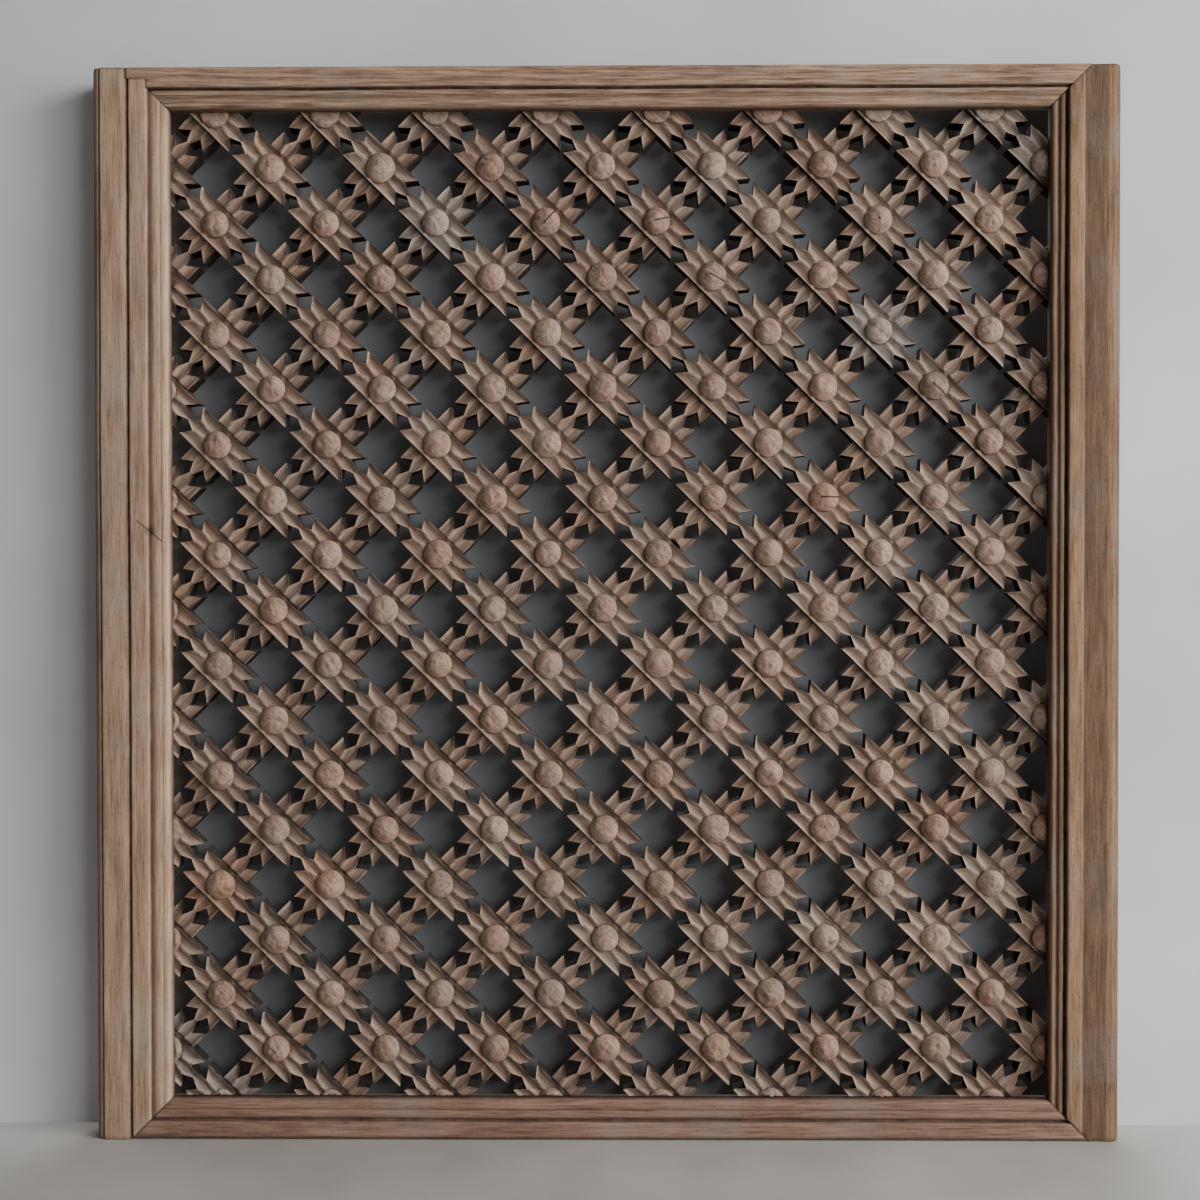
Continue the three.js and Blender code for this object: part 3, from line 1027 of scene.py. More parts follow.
        place = np.abs(np.where(in_middle, middle, flank))
        at_edge = (~in_middle) & (flank > 0)
        hollow = 1 - np.clip(place / (1 - self.rim), 0, 1) ** np.where(
            at_edge, self.edge_power, self.hollow_power)
        rise = smooth((reach - self.crown_start) / (self.crown_end - self.crown_start))
        droop = 1 - self.droop * smooth((reach - self.droop_start) / self.droop_length)
        height = (1 - self.scoop * hollow) * (self.crown_low + (1 - self.crown_low) * rise) * droop
        ridge = np.clip((place - 0.8) / 0.2, 0, 1) ** 2
        open_edge = reach > parting_reach + 1
        # Soil and painted shade at the partings, in the hollows and round the boss's foot.
        soil_and_shade = np.where(open_edge | at_edge, 0.0, self.parting_shade_and_soil * ridge)
        soil_and_shade = np.maximum(
            soil_and_shade + self.hollow_shade_and_soil * hollow,
            self.boss_shade_and_soil * (1 - smooth((reach - self.boss_foot) / self.boss_fade)))
        number = np.where(in_middle, 0, np.where(across > 0, 1, 2))
        return height, soil_and_shade, number + 4 * (along > 0)


@dataclass(frozen=True)
class Lattice:
    """Places of the slats and flowers on the board, in millimetres."""

    board: Board
    half_width: float  # of the opening
    half_height: float
    rebate_width: float = 8.0
    clearance: float = 0.3
    lip_back: float = 27.0
    angle: float = 45.22
    shift: tuple[float, float] = (-4.9, -3.1)
    front_thickness: float = 19.4
    back_setback: float = 5.0
    plan: PetalPlan = PetalPlan()

    @property
    def limits(self) -> tuple[float, float]:
        """How far the slats run from the opening's middle, to the side and upwards."""
        return (self.half_width + self.rebate_width - self.clearance,
                self.half_height + self.rebate_width - self.clearance)

    def direction(self, layer: Layer) -> Array:
        """The run of a layer's slats, as a direction of length 1 on the board."""
        degrees = self.angle - 90 if layer is Layer.FRONT else self.angle
        return np.array([math.cos(math.radians(degrees)), math.sin(math.radians(degrees))])

    def flower(self, front: int, back: int) -> Array:
        """Board place of the flower where a front and a back slat cross, by their numbers."""
        return (np.array(self.shift) + front * self.plan.pitch * self.direction(Layer.BACK)
                + back * self.plan.pitch * self.direction(Layer.FRONT))

    def heights(self, layer: Layer) -> tuple[float, float]:
        """Finds how high a layer lies.

        Args:
            layer: The layer.

        Returns:
            Heights of its underside and its face above the back plane.
        """
        face = self.lip_back - self.clearance
        if layer is Layer.FRONT:
            return face - self.front_thickness, face
        return 0.0, face - self.back_setback

    def numbers(self, layer: Layer) -> range:
        """Counts a layer's slats from the middle flower.

        Args:
            layer: The layer.

        Returns:
            Their numbers.
        """
        spread = self.direction(Layer.BACK if layer is Layer.FRONT else Layer.FRONT)
        corners = np.array([(x, y) for x in (-1, 1) for y in (-1, 1)]) * self.limits
        reaches = (corners - np.array(self.shift)) @ spread
        half, pitch = self.plan.slat_width / 2, self.plan.pitch
        return range(math.ceil((reaches.min() + half) / pitch),
                     math.floor((reaches.max() - half) / pitch) + 1)


@dataclass(frozen=True)
class Flower:
    """One flower on its slat, with the draws that set it apart."""

    cell: int  # its number along the slat
    crossing: tuple[int, int]  # numbers of the front and the back slat
    look: FlowerLook
    chance: Array  # eight random numbers from 0 to 1
    tint: float
    warmth: float


@dataclass
class Slat:
    """One carved slat."""

    lattice: Lattice
    layer: Layer
    number: int
    looks: dict[tuple[int, int], FlowerLook]
    depth: float  # millimetres from the face to the bottom of the hollows
    columns: int
    chisel: float = 0.28  # millimetres of tool marks

    def __post_init__(self) -> None:
        """Works out where the slat lies and where the rebate cuts it."""
        self.parts = MeshParts()
        self.along = self.lattice.direction(self.layer)
        self.across = np.array([-self.along[1], self.along[0]])
        self.origin = self.lattice.flower(*self._crossing(0))
        self.under, self.face = self.lattice.heights(self.layer)
        self.rows = self.lattice.plan.rows()
        self.low, self.high = self._ends()

    def build(self, name: str, finish: bpy.types.Material) -> bpy.types.Object:
        """Makes the slat.

        Args:
            name: Name of the piece.
            finish: Its material.

        Returns:
            The new object.
        """
        pitch = self.lattice.plan.pitch
        first = math.floor(self.low.min() / pitch + 0.5)
        last = math.ceil(self.high.max() / pitch - 0.5)
        for cell in range(first, last + 1):
            self._carve(self._flower(cell))
        return self.parts.build(name, self.lattice.board, finish)

    def place(self, along: Array, across: Array, height: Array | float) -> Array:
        """Turns slat coordinates into board coordinates.

        Args:
            along: Distances along the slat from its crossing with slat 0 of the other layer.
            across: Distances across.
            height: Heights above the back plane.

        Returns:
            Board coordinates.
        """
        x = self.origin[0] + along * self.along[0] + across * self.across[0]
        y = self.origin[1] + along * self.along[1] + across * self.across[1]
        return np.stack(np.broadcast_arrays(x, y, height), axis=-1)

    def _crossing(self, cell: int) -> tuple[int, int]:
        """Numbers of the front and the back slat at a flower, by its number along this one."""
        return (self.number, cell) if self.layer is Layer.FRONT else (cell, self.number)

    def _ends(self) -> tuple[Array, Array]:
        """Finds where the rebate cuts each row of the slat.

        Returns:
            Lowest and highest distance along the slat for each row.
        """
        low, high = np.full(len(self.rows), -1e6), np.full(len(self.rows), 1e6)
        for axis, limit in enumerate(self.lattice.limits):
            start = self.origin[axis] + self.rows * self.across[axis]
            ends = np.sort(np.stack([
                (side * limit - start) / self.along[axis] for side in (-1, 1)]), axis=0)
            low, high = np.maximum(low, ends[0]), np.minimum(high, ends[1])
        return low, np.maximum(high, low)

    def _flower(self, cell: int) -> Flower:
        """Draws how one flower differs from its neighbours.

        Args:
            cell: Number of the flower along the slat.

        Returns:
            The flower.
        """
        crossing = self._crossing(cell)
        seed = 17 * crossing[0] + 31 * crossing[1] + CELL_SEED[self.layer]
        chance = hashed(np.arange(8.0), np.full(8, float(seed)), 3)
        look = self.looks.get(crossing, FlowerLook())
        return Flower(cell, crossing, look, chance,
                      look.tint + (chance[0] - 0.5) * TINT_SPREAD,
                      look.warmth + (chance[1] - 0.5) * WARMTH_SPREAD)

    def _carve(self, flower: Flower) -> None:
        """Adds the wood from halfway before a flower to halfway after it.

        Args:
            flower: The flower.
        """
        if self.layer is Layer.FRONT:
            self._face(flower, -1.0, 1.0)
            self._underside(flower)
            if flower.crossing != BROKEN_FLOWER:
                Boss(self, flower).add()
        else:
            half = self.lattice.plan.slat_width / 2 + self.lattice.clearance
            self._face(flower, -1.0, 0.0, half)
            self._face(flower, 0.0, 1.0, half)
            self._trench(flower, half)
            self._underside(flower)

    def _edges(self, flower: Flower) -> tuple[Array, Array]:
        """Finds where the wood ends before and after a flower, before the rebate cuts it.

        Args:
            flower: The flower.

        Returns:
            Distances from its middle to either end, for each row.
        """
        plan, chance, upper = self.lattice.plan, flower.chance, self.rows > 0
        sway_before, sway_after, tip_before, tip_after = (
            np.where(upper, chance[over], chance[under])
            for over, under in ((2, 3), (5, 2), (4, 5), (3, 4)))
        return (plan.half_length(self.rows, sway_before - 0.5, tip_before - TIP_LOSS),
                plan.half_length(self.rows, sway_after - 0.5, tip_after - TIP_LOSS))

    def _trimmed(self, flower: Flower, local: Array) -> tuple[Array, Array]:
        """Cuts a grid of points off where the rebate ends the slat.

        Args:
            flower: The flower that the points belong to.
            local: Distances along the slat from its middle, shape (rows or 1, columns).

        Returns:
            Distances along and across the whole slat, shape (rows, columns).
        """
        along = local + flower.cell * self.lattice.plan.pitch
        along = np.clip(along, self.low[:, None], self.high[:, None])
        return along, np.broadcast_to(self.rows[:, None], along.shape)

    def _walls(self, rims: Sequence[Array], **tones: Array | float) -> None:
        """Adds a flat-shaded wall from each rim down to the slat's underside.

        Args:
            rims: Lines of points, each running to the right as seen from outside.
            tones: Named surface values for the finish.
        """
        for rim in rims:
            foot = rim.copy()
            foot[:, 2] = self.under
            self.parts.add_sheet(np.stack([foot, rim]), rounded=False, **tones)

    def _face(self, flower: Flower, low: float, high: float, start: float = 0.0) -> None:
        """Adds a carved face and the walls round it.

        Args:
            flower: The flower.
            low: First share of the length, -1 at the end before the flower and 1 after it.
            high: Last share of the length.
            start: Distance from the flower's middle where the face begins, with share 0.
        """
        share = np.linspace(low, high, self.columns + 1)[None, :]
        before, after = (end[:, None] - start for end in self._edges(flower))
        local = share * np.where(share < 0, before, after) + (start if high > 0 else -start)
        along, across = self._trimmed(flower, local)
        local = along - flower.cell * self.lattice.plan.pitch
        height, soil_and_shade, petal = self.lattice.plan.relief(
            local, across, (flower.chance[6] - 0.5) * TWIST)
        seed = self.number * 7 + FACE_SEED[self.layer]
        marks = layered_noise(along, across, CHISEL_NOISE, seed)
        own = hashed(petal.astype(float), np.full(petal.shape, float(flower.cell)), seed + 5) - 0.5
        depth = self.depth * (0.82 + 0.36 * flower.chance[7]) * (1 + 0.25 * own)
        z = self.face - depth * (1 - height) - self.chisel * (1 + marks) / 2
        tint = flower.tint
        if self.layer is Layer.FRONT:
            reach = np.hypot(local, across)
            z = np.where(reach < BOSS_SEAT, self.face - depth * 0.8, z)
            if flower.crossing == BROKEN_FLOWER:
                torn = 1 - smooth((reach - BREAK_RADIUS) / BREAK_FADE)
                z = z + torn * (self.face - BREAK_DEPTH * (1 + 0.4 * marks) - z)
                soil_and_shade = soil_and_shade * (1 - torn)
                tint = tint + 0.14 * torn
        else:
            step = np.abs(local) - start
            # Painted shadow and soot darken the back slat next to the front slat's edge.
            soil_and_shade = np.maximum(soil_and_shade, 0.95 * (1 - smooth(step / SHADOW_AND_SOOT_REACH)))
            if flower.crossing == CHIPPED_FLOWER and high > 0:
                chip = smooth(CHIP_SLOPE - CHIP_SLOPE * np.hypot(
                    step / CHIP_SIZE[0], (across + CHIP_SHIFT) / CHIP_SIZE[1]))
                z = z - CHIP_DEPTH * chip
                soil_and_shade = np.maximum(soil_and_shade, CHIP_SOIL * chip)
        top = self.place(along, across, z)
        # Painted light and shade: raised rims are painted paler and hollows darker, mostly for
        # light and shade, partly for wear.
        painted_light_and_wear = PAINTED_RIM_LIGHT_GAIN * (height - PAINTED_RIM_LIGHT_LEVEL)
        self.parts.add_sheet(top, groove=soil_and_shade, tint=tint + 0.12 * own + 0.06 * marks + painted_light_and_wear,
                             warmth=flower.warmth + 0.3 * own)
        # The side walls are darkened with painted shade.
        self._walls((top[0], top[-1, ::-1], top[::-1, 0], top[:, -1]), tint=-0.08,
                    warmth=flower.warmth, groove=PAINTED_WALL_SHADE)

    def _trench(self, flower: Flower, half: float) -> None:
        """Adds the floor of the housing that the front slat lies in.

        Args:
            flower: The flower.
            half: Half the housing's width.
        """
        floor = self.lattice.heights(Layer.FRONT)[0] - self.lattice.clearance
        top = self.place(*self._trimmed(flower, np.array([[-half, half]])), floor)
        tones = dict(tint=flower.tint - 0.1, groove=0.5)
        self.parts.add_sheet(top, rounded=False, **tones)
        self._walls((top[0], top[-1, ::-1]), **tones)

    def _underside(self, flower: Flower) -> None:
        """Adds the flat back of the wood round a flower.

        Args:
            flower: The flower.
        """
        before, after = self._edges(flower)
        local = np.stack([after, -before], axis=1)
        self.parts.add_sheet(self.place(*self._trimmed(flower, local), self.under),
                             rounded=False, tint=flower.tint - 0.05, groove=0.15)


@dataclass
class Boss:
    """The round button in the middle of a flower, carved with the slat. In millimetres."""

    slat: Slat
    flower: Flower
    radius: float = 12.7
    height: float = 6.0
    root: float = 3.8  # how deep its foot is sunk in the petals
    shoulder: float = 1.9  # its dome springs from this far below the slat's face
    head_shave: float = 8.0  # bosses are pared flat this near the opening's head
    pared: float = 1.0  # how far below the face they are pared
    ring_share: float = 0.66  # radius of a cut ring, as a share
    ring_depth: float = 0.9
    ring_width: float = 1.1
    sectors: int = 32
    rings: int = 9
    edge: float = 2.0

    def add(self) -> None:
        """Adds the boss to its slat, if enough of it shows inside the opening."""
        slat, lattice, chance = self.slat, self.slat.lattice, self.flower.chance
        reach = self.radius - self.edge
        centre = np.abs(lattice.flower(*self.flower.crossing))
        if centre[0] > lattice.half_width + reach or centre[1] > lattice.half_height + reach:
            return
        radius = self.radius * (0.98 + 0.12 * chance[2])
        share = np.concatenate([[1.0, 0.995], np.linspace(0.96, 0.12, self.rings - 2), [0.0]])
        rho, theta = np.meshgrid(
            share, np.linspace(0, 2 * np.pi, self.sectors + 1), indexing="ij")
        seed = float(slat.number * 13 + self.flower.cell)
        lump = value_noise(np.cos(theta) * 1.6 + seed, np.sin(theta) * 1.6 + seed, 1.0, 5)
        swell = radius * rho * (1 + 0.05 * lump)
        local, across = swell * np.cos(theta), swell * np.sin(theta)
        lean = radius * 0.22 * (chance[5:7] - 0.5)
        top = np.hypot(local - lean[0] * (1 - rho), across - lean[1] * (1 - rho)) / radius
        dome = np.clip(1 - np.clip(top, 0, 1) ** 2.1, 0, 1) ** 0.8
        bumps = value_noise(local + seed * 3, across - seed, 6.5, 8)
        pits = value_noise(local - seed, across + seed * 5, 2.9, 9)
        z = slat.face - self.shoulder + (self.height + 0.9) * dome * (0.84 + 0.16 * chance[4])
        z = z + (1.0 * bumps + 0.7 * pits) * (1 - rho ** 4)
        ring_at = self.ring_share * radius
        if self.flower.look.mark is BossMark.RING:
            z = z - self.ring_depth * np.exp(-((rho * radius - ring_at) / self.ring_width) ** 2)
        z[0] = slat.face - self.root
        points = slat.place(local + self.flower.cell * lattice.plan.pitch, across, z)
        x, y, height = np.moveaxis(points, -1, 0)
        outside = ((np.abs(x) > lattice.half_width - lattice.clearance)
                   | (y < lattice.clearance - lattice.half_height)
                   | (y > lattice.half_height - self.head_shave))
        height = np.where(outside, np.minimum(height, slat.face - self.pared), height)
        points[..., 2] = np.minimum(height, slat.face + self.height)
        slat.parts.add_sheet(
            points[::-1], tint=(self.flower.tint + 0.03 + 0.07 * bumps)[::-1],
            warmth=self.flower.warmth + 0.3,
            groove=(np.where(rho > 0.97, 0.25, 0.0) + 0.6 * np.clip(-pits - 0.25, 0, 1))[::-1],
            line=self._line(local, across, rho * radius, ring_at)[::-1])

    def _line(self, local: Array, across: Array, reach: Array, ring_at: float) -> Array:
        """Finds where the boss is cracked or cut.

        Args:
            local: Distances along the slat from the boss's middle.
            across: Distances across the slat.
            reach: Distances from the boss's middle.
            ring_at: Radius of a cut ring.

        Returns:
            Distance of each point from the dark line.
        """
        look = self.flower.look
        split = math.radians(look.split_angle)
        if look.mark is BossMark.SPLIT:
            run = local * math.cos(split) + across * math.sin(split)
            return np.where(run > -4, local * math.sin(split) - across * math.cos(split), FAR)
        if look.mark is BossMark.RING:
            uneven = value_noise(local, across, 7.0, 12)
            return np.hypot(reach - ring_at * (1 + 0.1 * uneven), RING_FADE)
        if look.mark is BossMark.DOT:
            return reach * 0.6
        return np.full(local.shape, FAR)


def slat_name(layer: Layer, number: int) -> str:
    """Names a slat by its layer and its place from the slat through the middle flower.

    Args:
        layer: Its layer.
        number: Its number from the middle.

    Returns:
        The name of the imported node.
    """
    if number == 0:
        return f"{layer.value}_middle"
    side = "upper" if (number > 0) == (layer is Layer.FRONT) else "lower"
    return f"{layer.value}_{side}_{abs(number)}"


EDGE_STRIP = 0.9  # millimetres from a slat's edge to the next line of its mesh
CHISEL_NOISE = ((0.6, 9.0, 2.2), (0.4, 3.4, 1.5))
CELL_SEED = {Layer.FRONT: 500, Layer.BACK: 900}
FACE_SEED = {Layer.FRONT: 0, Layer.BACK: 300}
TINT_SPREAD = 0.18
WARMTH_SPREAD = 0.7
TWIST = 3.0  # degrees between the petals that are carved most and least turned
TIP_LOSS = 0.3  # tips are cut short more often than long
BOSS_SEAT = 12.2  # millimetres; the face is level under a boss
SHADOW_AND_SOOT_REACH = 1.8  # millimetres from the front slat's edge across the back slat, darkened by painted shadow and soot
PAINTED_WALL_SHADE = np.array([[1.4], [0.95]])  # painted shade on the slats' side walls, at the foot and at the rim
PAINTED_RIM_LIGHT_GAIN = 0.5  # painted light on the raised rims and painted shade in the hollows, partly wear
PAINTED_RIM_LIGHT_LEVEL = 0.66  # share of the full height that is neither paler nor darker

# Marks on single flowers, in millimetres. The first one's boss has split off and left clean flat
# wood. At the second a splinter is gone from the back slat beside the front one.
BROKEN_FLOWER = (-6, -2)
BREAK_DEPTH = 1.8
BREAK_RADIUS = 13.0
BREAK_FADE = 5.0
CHIPPED_FLOWER = (1, 0)
CHIP_SIZE = (3.4, 7.5)
CHIP_SHIFT = 4.7
CHIP_DEPTH = 6.0
CHIP_SLOPE = 1.6
CHIP_SOIL = 1.6
RING_FADE = 0.7  # keeps a cut ring fainter than a crack

FLOWER_LOOKS: dict[tuple[int, int], FlowerLook] = {
    (3, -4): FlowerLook(BossMark.SPLIT, split_angle=95),
    (3, -5): FlowerLook(BossMark.RING, tint=-0.04),
    (4, -4): FlowerLook(BossMark.RING),
    (3, -3): FlowerLook(BossMark.RING),
    (4, 1): FlowerLook(BossMark.RING),
    (4, -2): FlowerLook(BossMark.SPLIT, split_angle=20),
    (4, -3): FlowerLook(BossMark.SPLIT, split_angle=60),
    (5, 1): FlowerLook(BossMark.SPLIT, tint=-0.12, split_angle=5),
    (3, 1): FlowerLook(BossMark.SPLIT, warmth=0.7, split_angle=45),
    (6, -1): FlowerLook(BossMark.DOT),
    (5, 0): FlowerLook(tint=0.02, warmth=-1.6),
    (8, -1): FlowerLook(warmth=-1.2, tint=-0.03),
    (8, 0): FlowerLook(warmth=-1.2, tint=-0.03),
    (-8, 0): FlowerLook(warmth=-1.3),
    (-8, 1): FlowerLook(warmth=-1.3),
    (2, -5): FlowerLook(warmth=-1.2),
    (-6, -1): FlowerLook(warmth=0.6, tint=0.04),
    (-5, 0): FlowerLook(warmth=0.6, tint=0.04),
    (1, 5): FlowerLook(warmth=0.8, tint=-0.03),
    (-7, 0): FlowerLook(BossMark.RING, tint=0.02),
}


# Stage


@dataclass
class Studio:
    """Floor, wall, lights and camera. Lengths are in metres."""

    concrete: tuple[str, str] = ("a9a6a1", "bfbbb7")
    plaster: tuple[str, str] = ("c8c9cb", "dadbdd")
    painted_shade_plaster: str = "74777a"  # painted shade: the plaster colour right behind the screen, where the screen shades the wall
    shaded_half: tuple[float, float] = (0.45, 0.488)
    shade_edge: tuple[float, float] = (0.985, 1.01)  # shares of that half where it fades
    backdrop: str = "8e9094"
    floor_front: float = -3.2
    floor_back: float = 3.0
    wall_behind: float = 0.026
    wall_height: float = 2.6
    half_width: float = 3.0
    camera_place: tuple[float, float, float] = (0.0077, -1.4135, 0.5221)
    camera_turn: float = 0.541  # degrees to the left
    camera_drop: float = 0.696  # degrees downwards
    camera_roll: float = -0.059  # degrees
    lens: float = 45.0  # millimetres
    sensor: float = 36.0  # millimetres

    def build(self) -> None:
        """Makes the floor, the wall, the lights, the world and the camera."""
        half, behind, top = self.half_width, self.wall_behind, self.wall_height
        front, back = self.floor_front, self.floor_back
        self._panel(
            "studio_floor", self._concrete(),
            [(-half, front, 0), (half, front, 0), (half, back, 0), (-half, back, 0)])
        wall = self._panel(
            "studio_wall", self._plaster(),
            [(-half, behind, 0), (half, behind, 0), (half, behind, top), (-half, behind, top)])
        wall.visible_shadow = False
        self._world()
        for name, place, size, power in LAMPS:
            self._light(name, place, size, power)
        self._camera()

    def _panel(self, name: str, material: bpy.types.Material,
               corners: list[tuple[float, float, float]]) -> bpy.types.Object:
        """Makes one flat sheet of the stage.

        Args:
            name: Name of the object and its mesh.
            material: Its material.
            corners: Its four corners, anticlockwise from where it is seen.

        Returns:
            The new object.
        """
        mesh = bpy.data.meshes.new(name)
        mesh.from_pydata(corners, [], [(0, 1, 2, 3)])
        mesh.materials.append(material)
        panel = bpy.data.objects.new(name, mesh)
        bpy.context.scene.collection.objects.link(panel)
        panel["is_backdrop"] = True
        return panel

    def _concrete(self) -> bpy.types.Material:
        """Makes the floor's pale concrete, smooth and a little cloudy to the eye.

        Returns:
            The material.
        """
        surface = Surface("trowelled concrete")
        surface.mottle(5.0, 8.0, self.concrete)
        shader = add_node(surface.tree, "BsdfPrincipled", None,
                          {"Base Color": surface.colour, "Roughness": 0.85})
        add_node(surface.tree, "OutputMaterial", None, {"Surface": shader})
        return surface.material

    def _plaster(self) -> bpy.types.Material:
        """Makes the wall's pale, cloudy plaster, with painted shade on it right behind the screen.

        Seen or lit from behind it lets everything through, so the back of the screen shows too.

        Returns:
            The material.
        """
        surface = Surface("lime plaster")
        tree = surface.tree
        surface.mottle(4.0, 9.0, self.plaster)
        half_x, half_z = self.shaded_half
        centred = add_node(
            tree, "VectorMath", {"operation": "MULTIPLY_ADD"},
            {0: surface.place, 1: (1 / half_x, 0.0, 1 / half_z), 2: (0.0, 0.0, -0.5 / half_z)})
        spread = add_node(tree, "VectorMath", {"operation": "ABSOLUTE"}, {0: centred})
        sideways, upward = (
            add_node(tree, "SeparateXYZ", None, {"Vector": spread}, output=axis)
            for axis in "XZ")
        reach = add_node(tree, "Math", {"operation": "MAXIMUM"}, {0: sideways, 1: upward})
        # Painted shade: the plaster is darker where the screen shades the wall.
        surface.stain(self.painted_shade_plaster, reach, *self.shade_edge, 1.0)
        shader = add_node(tree, "BsdfPrincipled", None,
                          {"Base Color": surface.colour, "Roughness": 0.9})
        clear = add_node(tree, "BsdfTransparent")
        behind = add_node(tree, "NewGeometry", output="Backfacing")
        mixed = add_node(tree, "MixShader", None, {"Fac": behind, 1: shader, 2: clear})
        add_node(tree, "OutputMaterial", None, {"Surface": mixed})
        return surface.material

    def _world(self) -> None:
        """Makes the dim grey surroundings, which show where neither floor nor wall does."""
        world = bpy.data.worlds.new("studio")
        world.use_nodes = True
        tree = world.node_tree
        tree.nodes.clear()
        shade = add_node(tree, "Background", None,
                         {"Color": linear(self.backdrop), "Strength": 0.14})
        add_node(tree, "OutputWorld", None, {"Surface": shade})
        bpy.context.scene.world = world

    def _light(self, name: str, place: tuple[float, float, float], size: float,
               power: float) -> None:
        """Adds one soft lamp that faces the screen's middle.

        Args:
            name: Name of the lamp.
            place: Where it hangs.
            size: Side of its square face.
            power: Watts.
        """
        data = bpy.data.lights.new(name, "AREA")
        data.size, data.energy = size, power
        lamp = bpy.data.objects.new(name, data)
        lamp.location = place
        lamp.rotation_euler = (LAMP_TARGET - Vector(place)).to_track_quat("-Z", "Y").to_euler()
        bpy.context.scene.collection.objects.link(lamp)

    def _camera(self) -> None:
        """Places the camera where the photograph was taken from."""
        data = bpy.data.cameras.new("photograph")
        data.sensor_width, data.lens = self.sensor, self.lens
        camera = bpy.data.objects.new("photograph", data)
        turn = (Matrix.Rotation(math.radians(self.camera_turn), 4, "Z")
                @ Matrix.Rotation(math.radians(90 - self.camera_drop), 4, "X")
                @ Matrix.Rotation(math.radians(self.camera_roll), 4, "Z"))
        camera.matrix_world = Matrix.Translation(self.camera_place) @ turn
        bpy.context.scene.collection.objects.link(camera)
        bpy.context.scene.camera = camera


LAMP_TARGET = Vector((0.0, 0.0, 0.5))
# Name, place in metres, side of the square face in metres, and watts. Most light comes from the
# right, as in the photograph.
LAMPS = (
    ("window", (2.4, -3.4, 1.7), 1.8, 68.0),
    ("side_window", (3.8, -1.8, 1.6), 2.4, 250.0),
    ("fill", (-1.2, -2.8, 1.2), 2.2, 3.0),
    ("rear", (0.6, 2.2, 1.9), 1.8, 42.0),
)


# Screen


@dataclass
class WindowScreen:
    """The whole screen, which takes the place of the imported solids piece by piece."""

    board: Board
    left_strip: float = 32.0  # millimetres; a stile's width outside its moulding
    right_strip: float = 27.0
    front_columns: int = 46  # steps along the front slats' flowers
    back_columns: int = 14
    front_depth: float = 5.0  # millimetres; how deep the petals are carved
    back_depth: float = 3.6

    def build(self) -> None:
        """Makes every piece, ties it to the body and hides the solid it stands for."""
        frame = MouldedFrame(self.board, self.left_strip, self.right_strip)
        dress = {
            Side.LEFT: MemberDress(LEFT_PROFILE, LEFT_STILE_FINISH),
            Side.RIGHT: MemberDress(RIGHT_PROFILE, RIGHT_STILE_FINISH),
            Side.TOP: MemberDress(TOP_PROFILE, TOP_RAIL_FINISH),
            Side.BOTTOM: MemberDress(BOTTOM_PROFILE, BOTTOM_RAIL_FINISH)}
        for side, piece in zip(Side, frame.build(dress)):
            self._seat(piece, side.value, "frame_wood")
        lattice = Lattice(self.board, *frame.opening)
        for layer, finish, slot, columns, depth in (
                (Layer.FRONT, FRONT_SLAT_FINISH.build(), "front_slat_wood", self.front_columns,
                 self.front_depth),
                (Layer.BACK, BACK_SLAT_FINISH.build(), "back_slat_wood", self.back_columns,
                 self.back_depth)):
            for number in lattice.numbers(layer):
                node = slat_name(layer, number)
                slat = Slat(lattice, layer, number, FLOWER_LOOKS, depth, columns)
                self._seat(slat.build(node + "_carved", finish), node, slot)

    def _seat(self, piece: bpy.types.Object, node: str, slot: str) -> None:
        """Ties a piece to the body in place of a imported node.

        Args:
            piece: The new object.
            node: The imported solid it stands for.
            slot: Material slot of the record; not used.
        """
        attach(piece, BODY)
        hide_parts(node)
        LOG.info("%s: %d faces in place of %s", piece.name, len(piece.data.polygons), node)


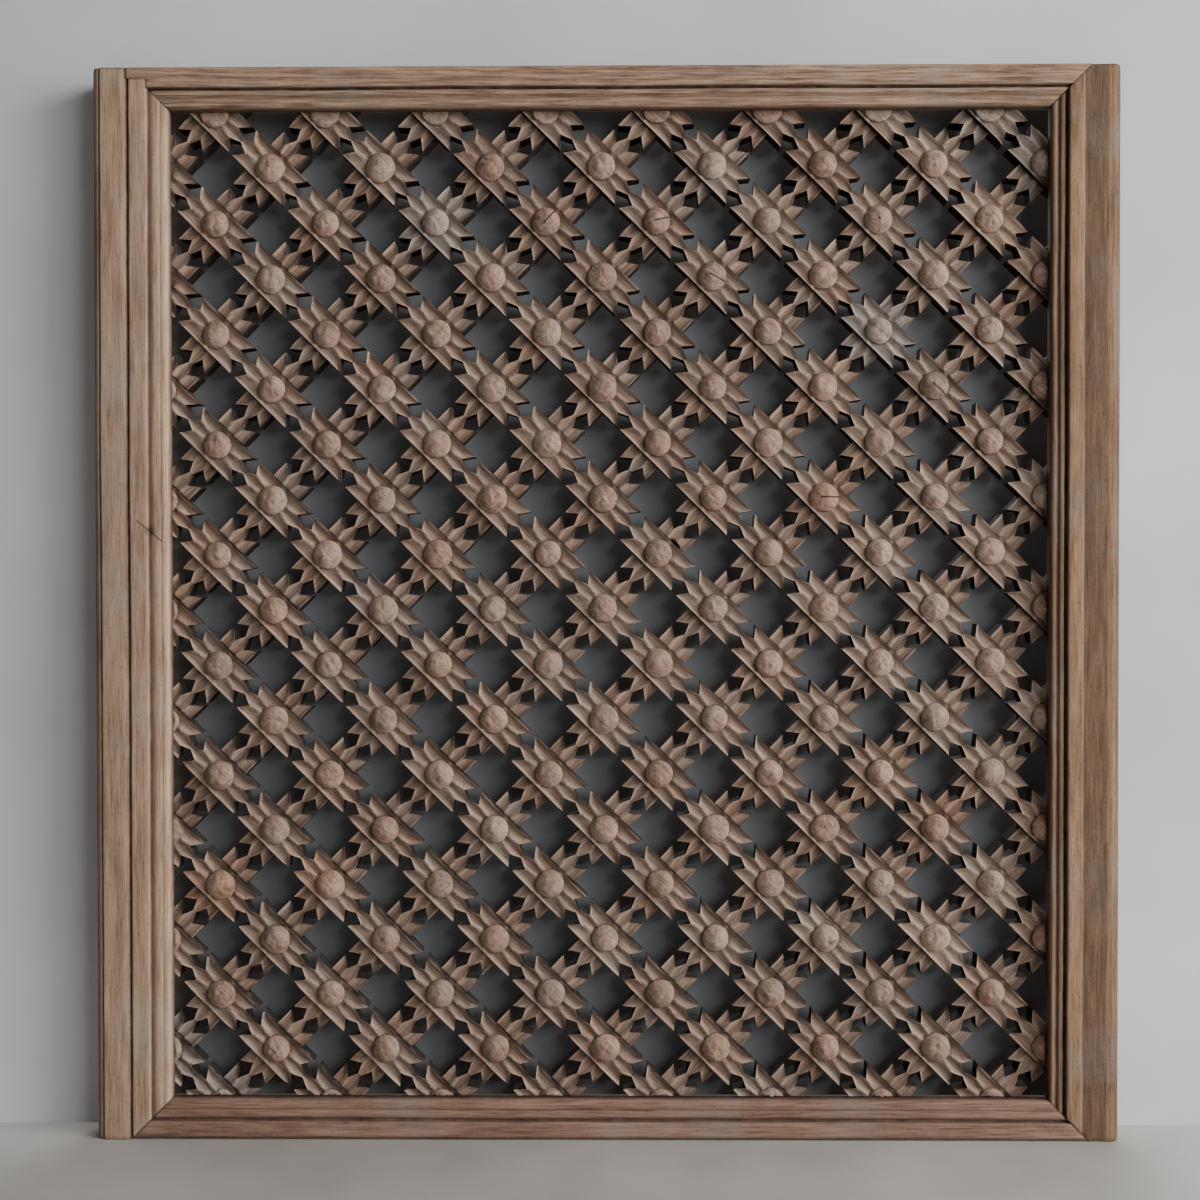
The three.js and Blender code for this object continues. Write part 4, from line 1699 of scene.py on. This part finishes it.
# Left stile: yellower, lighter fir with a knot; its profile paints the inner bead lighter, as lit
# from the right.
LEFT_STILE_FINISH = WeatheredFir(
    "weathered fir, left stile", "bb9d82", "a28670", "806652", "3a2e26", "a89c8c",
    grain_angle=90, line_spacing=1.5, line_strength=0.55, bloom_share=0.25, speckle=0.35,
    knots=(Knot(-424.6, 570.0, 8.0),), checks=(Check((-436.7, 579.6), (-413.4, 560.0)),))
# Right stile: browner and rougher, which gives a duller edge to the screen.
RIGHT_STILE_FINISH = WeatheredFir(
    "weathered fir, right stile", "a48469", "8a6c52", "69503e", "382d27", "8f8276",
    grain_angle=90, line_spacing=1.6, line_strength=0.55, bloom_share=0.3, speckle=0.55)
# Top rail: streaked light and dark along its length.
TOP_RAIL_FINISH = WeatheredFir(
    "weathered fir, top rail", "b99a7e", "967a65", "654c3d", "35291f", "97897c",
    grain_angle=0, line_spacing=1.7, line_strength=0.8, bloom_share=0.3, speckle=0.35)
# Bottom rail: redder wood that kept more of its colour near the ground, and darker, which also
# paints the dimmer light near the floor.
BOTTOM_RAIL_FINISH = WeatheredFir(
    "weathered fir, bottom rail", "a3826e", "886a5a", "654b40", "33271f", "8e8076",
    grain_angle=0, line_spacing=1.7, line_strength=0.65, bloom_share=0.3, speckle=0.4)
# Front slats: knife-carved fir gone grey-brown; its near-black dark colour paints soot and shade
# between the petals and on the walls.
FRONT_SLAT_FINISH = WeatheredFir(
    "carved fir, front slats", "b49a87", "988070", "735f52", "1e1612", "a4988c",
    grain_angle=-44.78, line_spacing=1.3, line_strength=0.6, bloom_share=0.25, speckle=0.4)
# Back slats: the same wood, painted a shade duller for the shade they lie in below the front slats.
BACK_SLAT_FINISH = WeatheredFir(
    "carved fir, back slats", "b29784", "977e6d", "715c4f", "1c1410", "988c81",
    grain_angle=45.22, line_spacing=1.3, line_strength=0.6, bloom_share=0.25, speckle=0.4)


def main() -> None:
    """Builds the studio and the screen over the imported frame."""
    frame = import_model()
    LOG.info("%d packed nodes", len(frame["nodes"]))
    low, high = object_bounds()
    Studio().build()
    screen = WindowScreen(Board.from_frame(Vector(low), Vector(high), OPENING_SHIFT))
    screen.build()
    LOG.info("size written")


if __name__ == "__main__":
    logging.basicConfig(level=logging.INFO, format="%(name)s: %(message)s")
    main()
